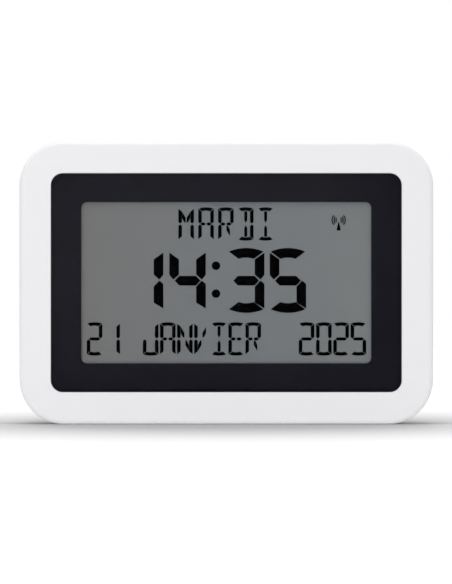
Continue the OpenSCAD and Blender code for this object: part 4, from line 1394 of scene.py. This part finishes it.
class CLOCK_OT_stage(bpy.types.Operator):
    """Pale floor with a painted shadow, soft studio light and the camera in front"""

    bl_idname = "clock.stage"
    bl_label = "Stage"
    bl_options = {"REGISTER", "UNDO"}

    IMAGE_W = 452
    IMAGE_H = 584
    MM_PER_PIXEL = 0.5549
    CENTRE_PX = (226.25, 282.7)
    SENSOR = 36
    # how steeply the painted shadow on the floor fades, and how much lift is left at its darkest
    PAINTED_SHADOW_FALL = 6
    PAINTED_SHADOW_CORE = 0.12

    def execute(self, context):
        stage = context.scene.day_clock.stage
        self.floor(stage)
        self.world(stage)
        self.lamp("key_light", (-0.5, -2.2, 0.3), 1.4, stage.key)
        self.lamp("top_light", (0, -0.3, 2.2), 1.2, stage.top)
        self.lamp("rear_light", (0.4, 1.9, 0.9), 1.2, stage.rear)
        self.camera(stage)
        return {"FINISHED"}

    def floor(self, stage):
        """Pale floor, lifted to white for the camera where nothing stands near; near the clock
        ambient occlusion dims the lift as a painted shadow.
        """
        bm = bmesh.new()
        bmesh.ops.create_grid(bm, x_segments=8, y_segments=8, size=6)
        floor = solid(bm, "floor")
        n = Surface("floor")
        n.feed(n.shader, {
            "Base Color": n.tones(n.noise(0.4), shade(stage.floor, -0.01), stage.floor),
            "Roughness": 0.9,
            "Specular IOR Level": 0.0,
        })
        plain = n.shader.outputs[0]
        # ambient occlusion dims the white lift near the clock: a painted shadow on the floor
        near = n.add("ShaderNodeAmbientOcclusion", {"Distance": stage.painted_shadow_reach}, samples=32)
        clear = n.maths("POWER", near.outputs["AO"], self.PAINTED_SHADOW_FALL)
        white = n.between(clear, self.PAINTED_SHADOW_CORE * stage.floor_lift, stage.floor_lift)
        lift = n.add("ShaderNodeEmission", {"Strength": white, "Color": WHITE})
        part = n.add("ShaderNodeMixShader", {0: stage.floor_seen, 2: plain})
        shown = n.add("ShaderNodeAddShader", {0: part.outputs[0], 1: lift.outputs[0]})
        total = n.add("ShaderNodeMixShader", {0: n.seen(), 1: plain, 2: shown.outputs[0]})
        floor.data.materials.append(n.show(total))

    def world(self, stage):
        """White for the camera, and an even light of its own strength on the object."""
        world = bpy.data.worlds.new("studio")
        bpy.context.scene.world = world
        world.use_nodes = True
        world.node_tree.nodes.clear()
        n = Tree(world.node_tree)
        fill = n.add("ShaderNodeBackground", {"Color": WHITE, "Strength": stage.fill})
        white = n.add("ShaderNodeBackground", {"Color": WHITE, "Strength": 1.0})
        mix = n.add("ShaderNodeMixShader", {0: n.seen(), 1: fill.outputs[0], 2: white.outputs[0]})
        n.add("ShaderNodeOutputWorld", {"Surface": mix.outputs[0]})

    def lamp(self, name, place, size, power):
        """Soft square light that faces the clock."""
        data = bpy.data.lights.new(name, "AREA")
        data.shape = "SQUARE"
        data.size = size
        data.energy = power
        lamp = bpy.data.objects.new(name, data)
        bpy.context.scene.collection.objects.link(lamp)
        lamp.location = place
        aim = Vector((0, 0, MID_Z * MM)) - Vector(place)
        lamp.rotation_mode = "QUATERNION"
        lamp.rotation_quaternion = aim.to_track_quat("-Z", "Y")

    def camera(self, stage):
        """Camera straight in front, framed as the photograph is."""
        data = bpy.data.cameras.new("camera")
        camera = bpy.data.objects.new("camera", data)
        bpy.context.scene.collection.objects.link(camera)
        right = (self.IMAGE_W / 2 - self.CENTRE_PX[0]) * self.MM_PER_PIXEL
        up = MID_Z - (self.IMAGE_H / 2 - self.CENTRE_PX[1]) * self.MM_PER_PIXEL
        camera.location = (right * MM, FRONT_Y * MM - stage.distance, up * MM)
        camera.rotation_euler = (math.radians(90), 0, 0)
        data.sensor_width = self.SENSOR
        data.lens = self.SENSOR * stage.distance / (self.IMAGE_H * self.MM_PER_PIXEL * MM)
        data.clip_start = 0.05
        data.clip_end = 50
        bpy.context.scene.camera = camera
        bpy.context.scene.view_settings.view_transform = "Standard"


# ---------- panel and registration ----------

OPERATORS = (
    CLOCK_OT_front_housing,
    CLOCK_OT_rear_cover,
    CLOCK_OT_lens,
    CLOCK_OT_display,
    CLOCK_OT_electronics,
    CLOCK_OT_cells,
    CLOCK_OT_contacts,
    CLOCK_OT_stand,
    CLOCK_OT_battery_door,
    CLOCK_OT_buttons,
    CLOCK_OT_signs,
    CLOCK_OT_case_screws,
    CLOCK_OT_stage,
)


class CLOCK_PT_pieces(bpy.types.Panel):
    """Settings and build steps of the day clock"""

    bl_idname = "CLOCK_PT_pieces"
    bl_label = "Day Clock"
    bl_space_type = "VIEW_3D"
    bl_region_type = "UI"
    bl_category = "Day Clock"

    def draw(self, context):
        settings = context.scene.day_clock
        for group in (settings.case, settings.screen, settings.back, settings.stage):
            box = self.layout.box()
            for name in group.__annotations__:
                box.prop(group, name)
        for operator in OPERATORS:
            self.layout.operator(operator.bl_idname)


CLASSES = (CaseSettings, ScreenSettings, BackSettings, StageSettings, DayClockSettings,
           *OPERATORS, CLOCK_PT_pieces)


def register():
    for cls in CLASSES:
        bpy.utils.register_class(cls)
    bpy.types.Scene.day_clock = PointerProperty(type=DayClockSettings)


def unregister():
    del bpy.types.Scene.day_clock
    for cls in reversed(CLASSES):
        bpy.utils.unregister_class(cls)


def main():
    register()
    for operator in OPERATORS:
        group, name = operator.bl_idname.split(".")
        getattr(getattr(bpy.ops, group), name)()


if __name__ == "__main__":
    main()
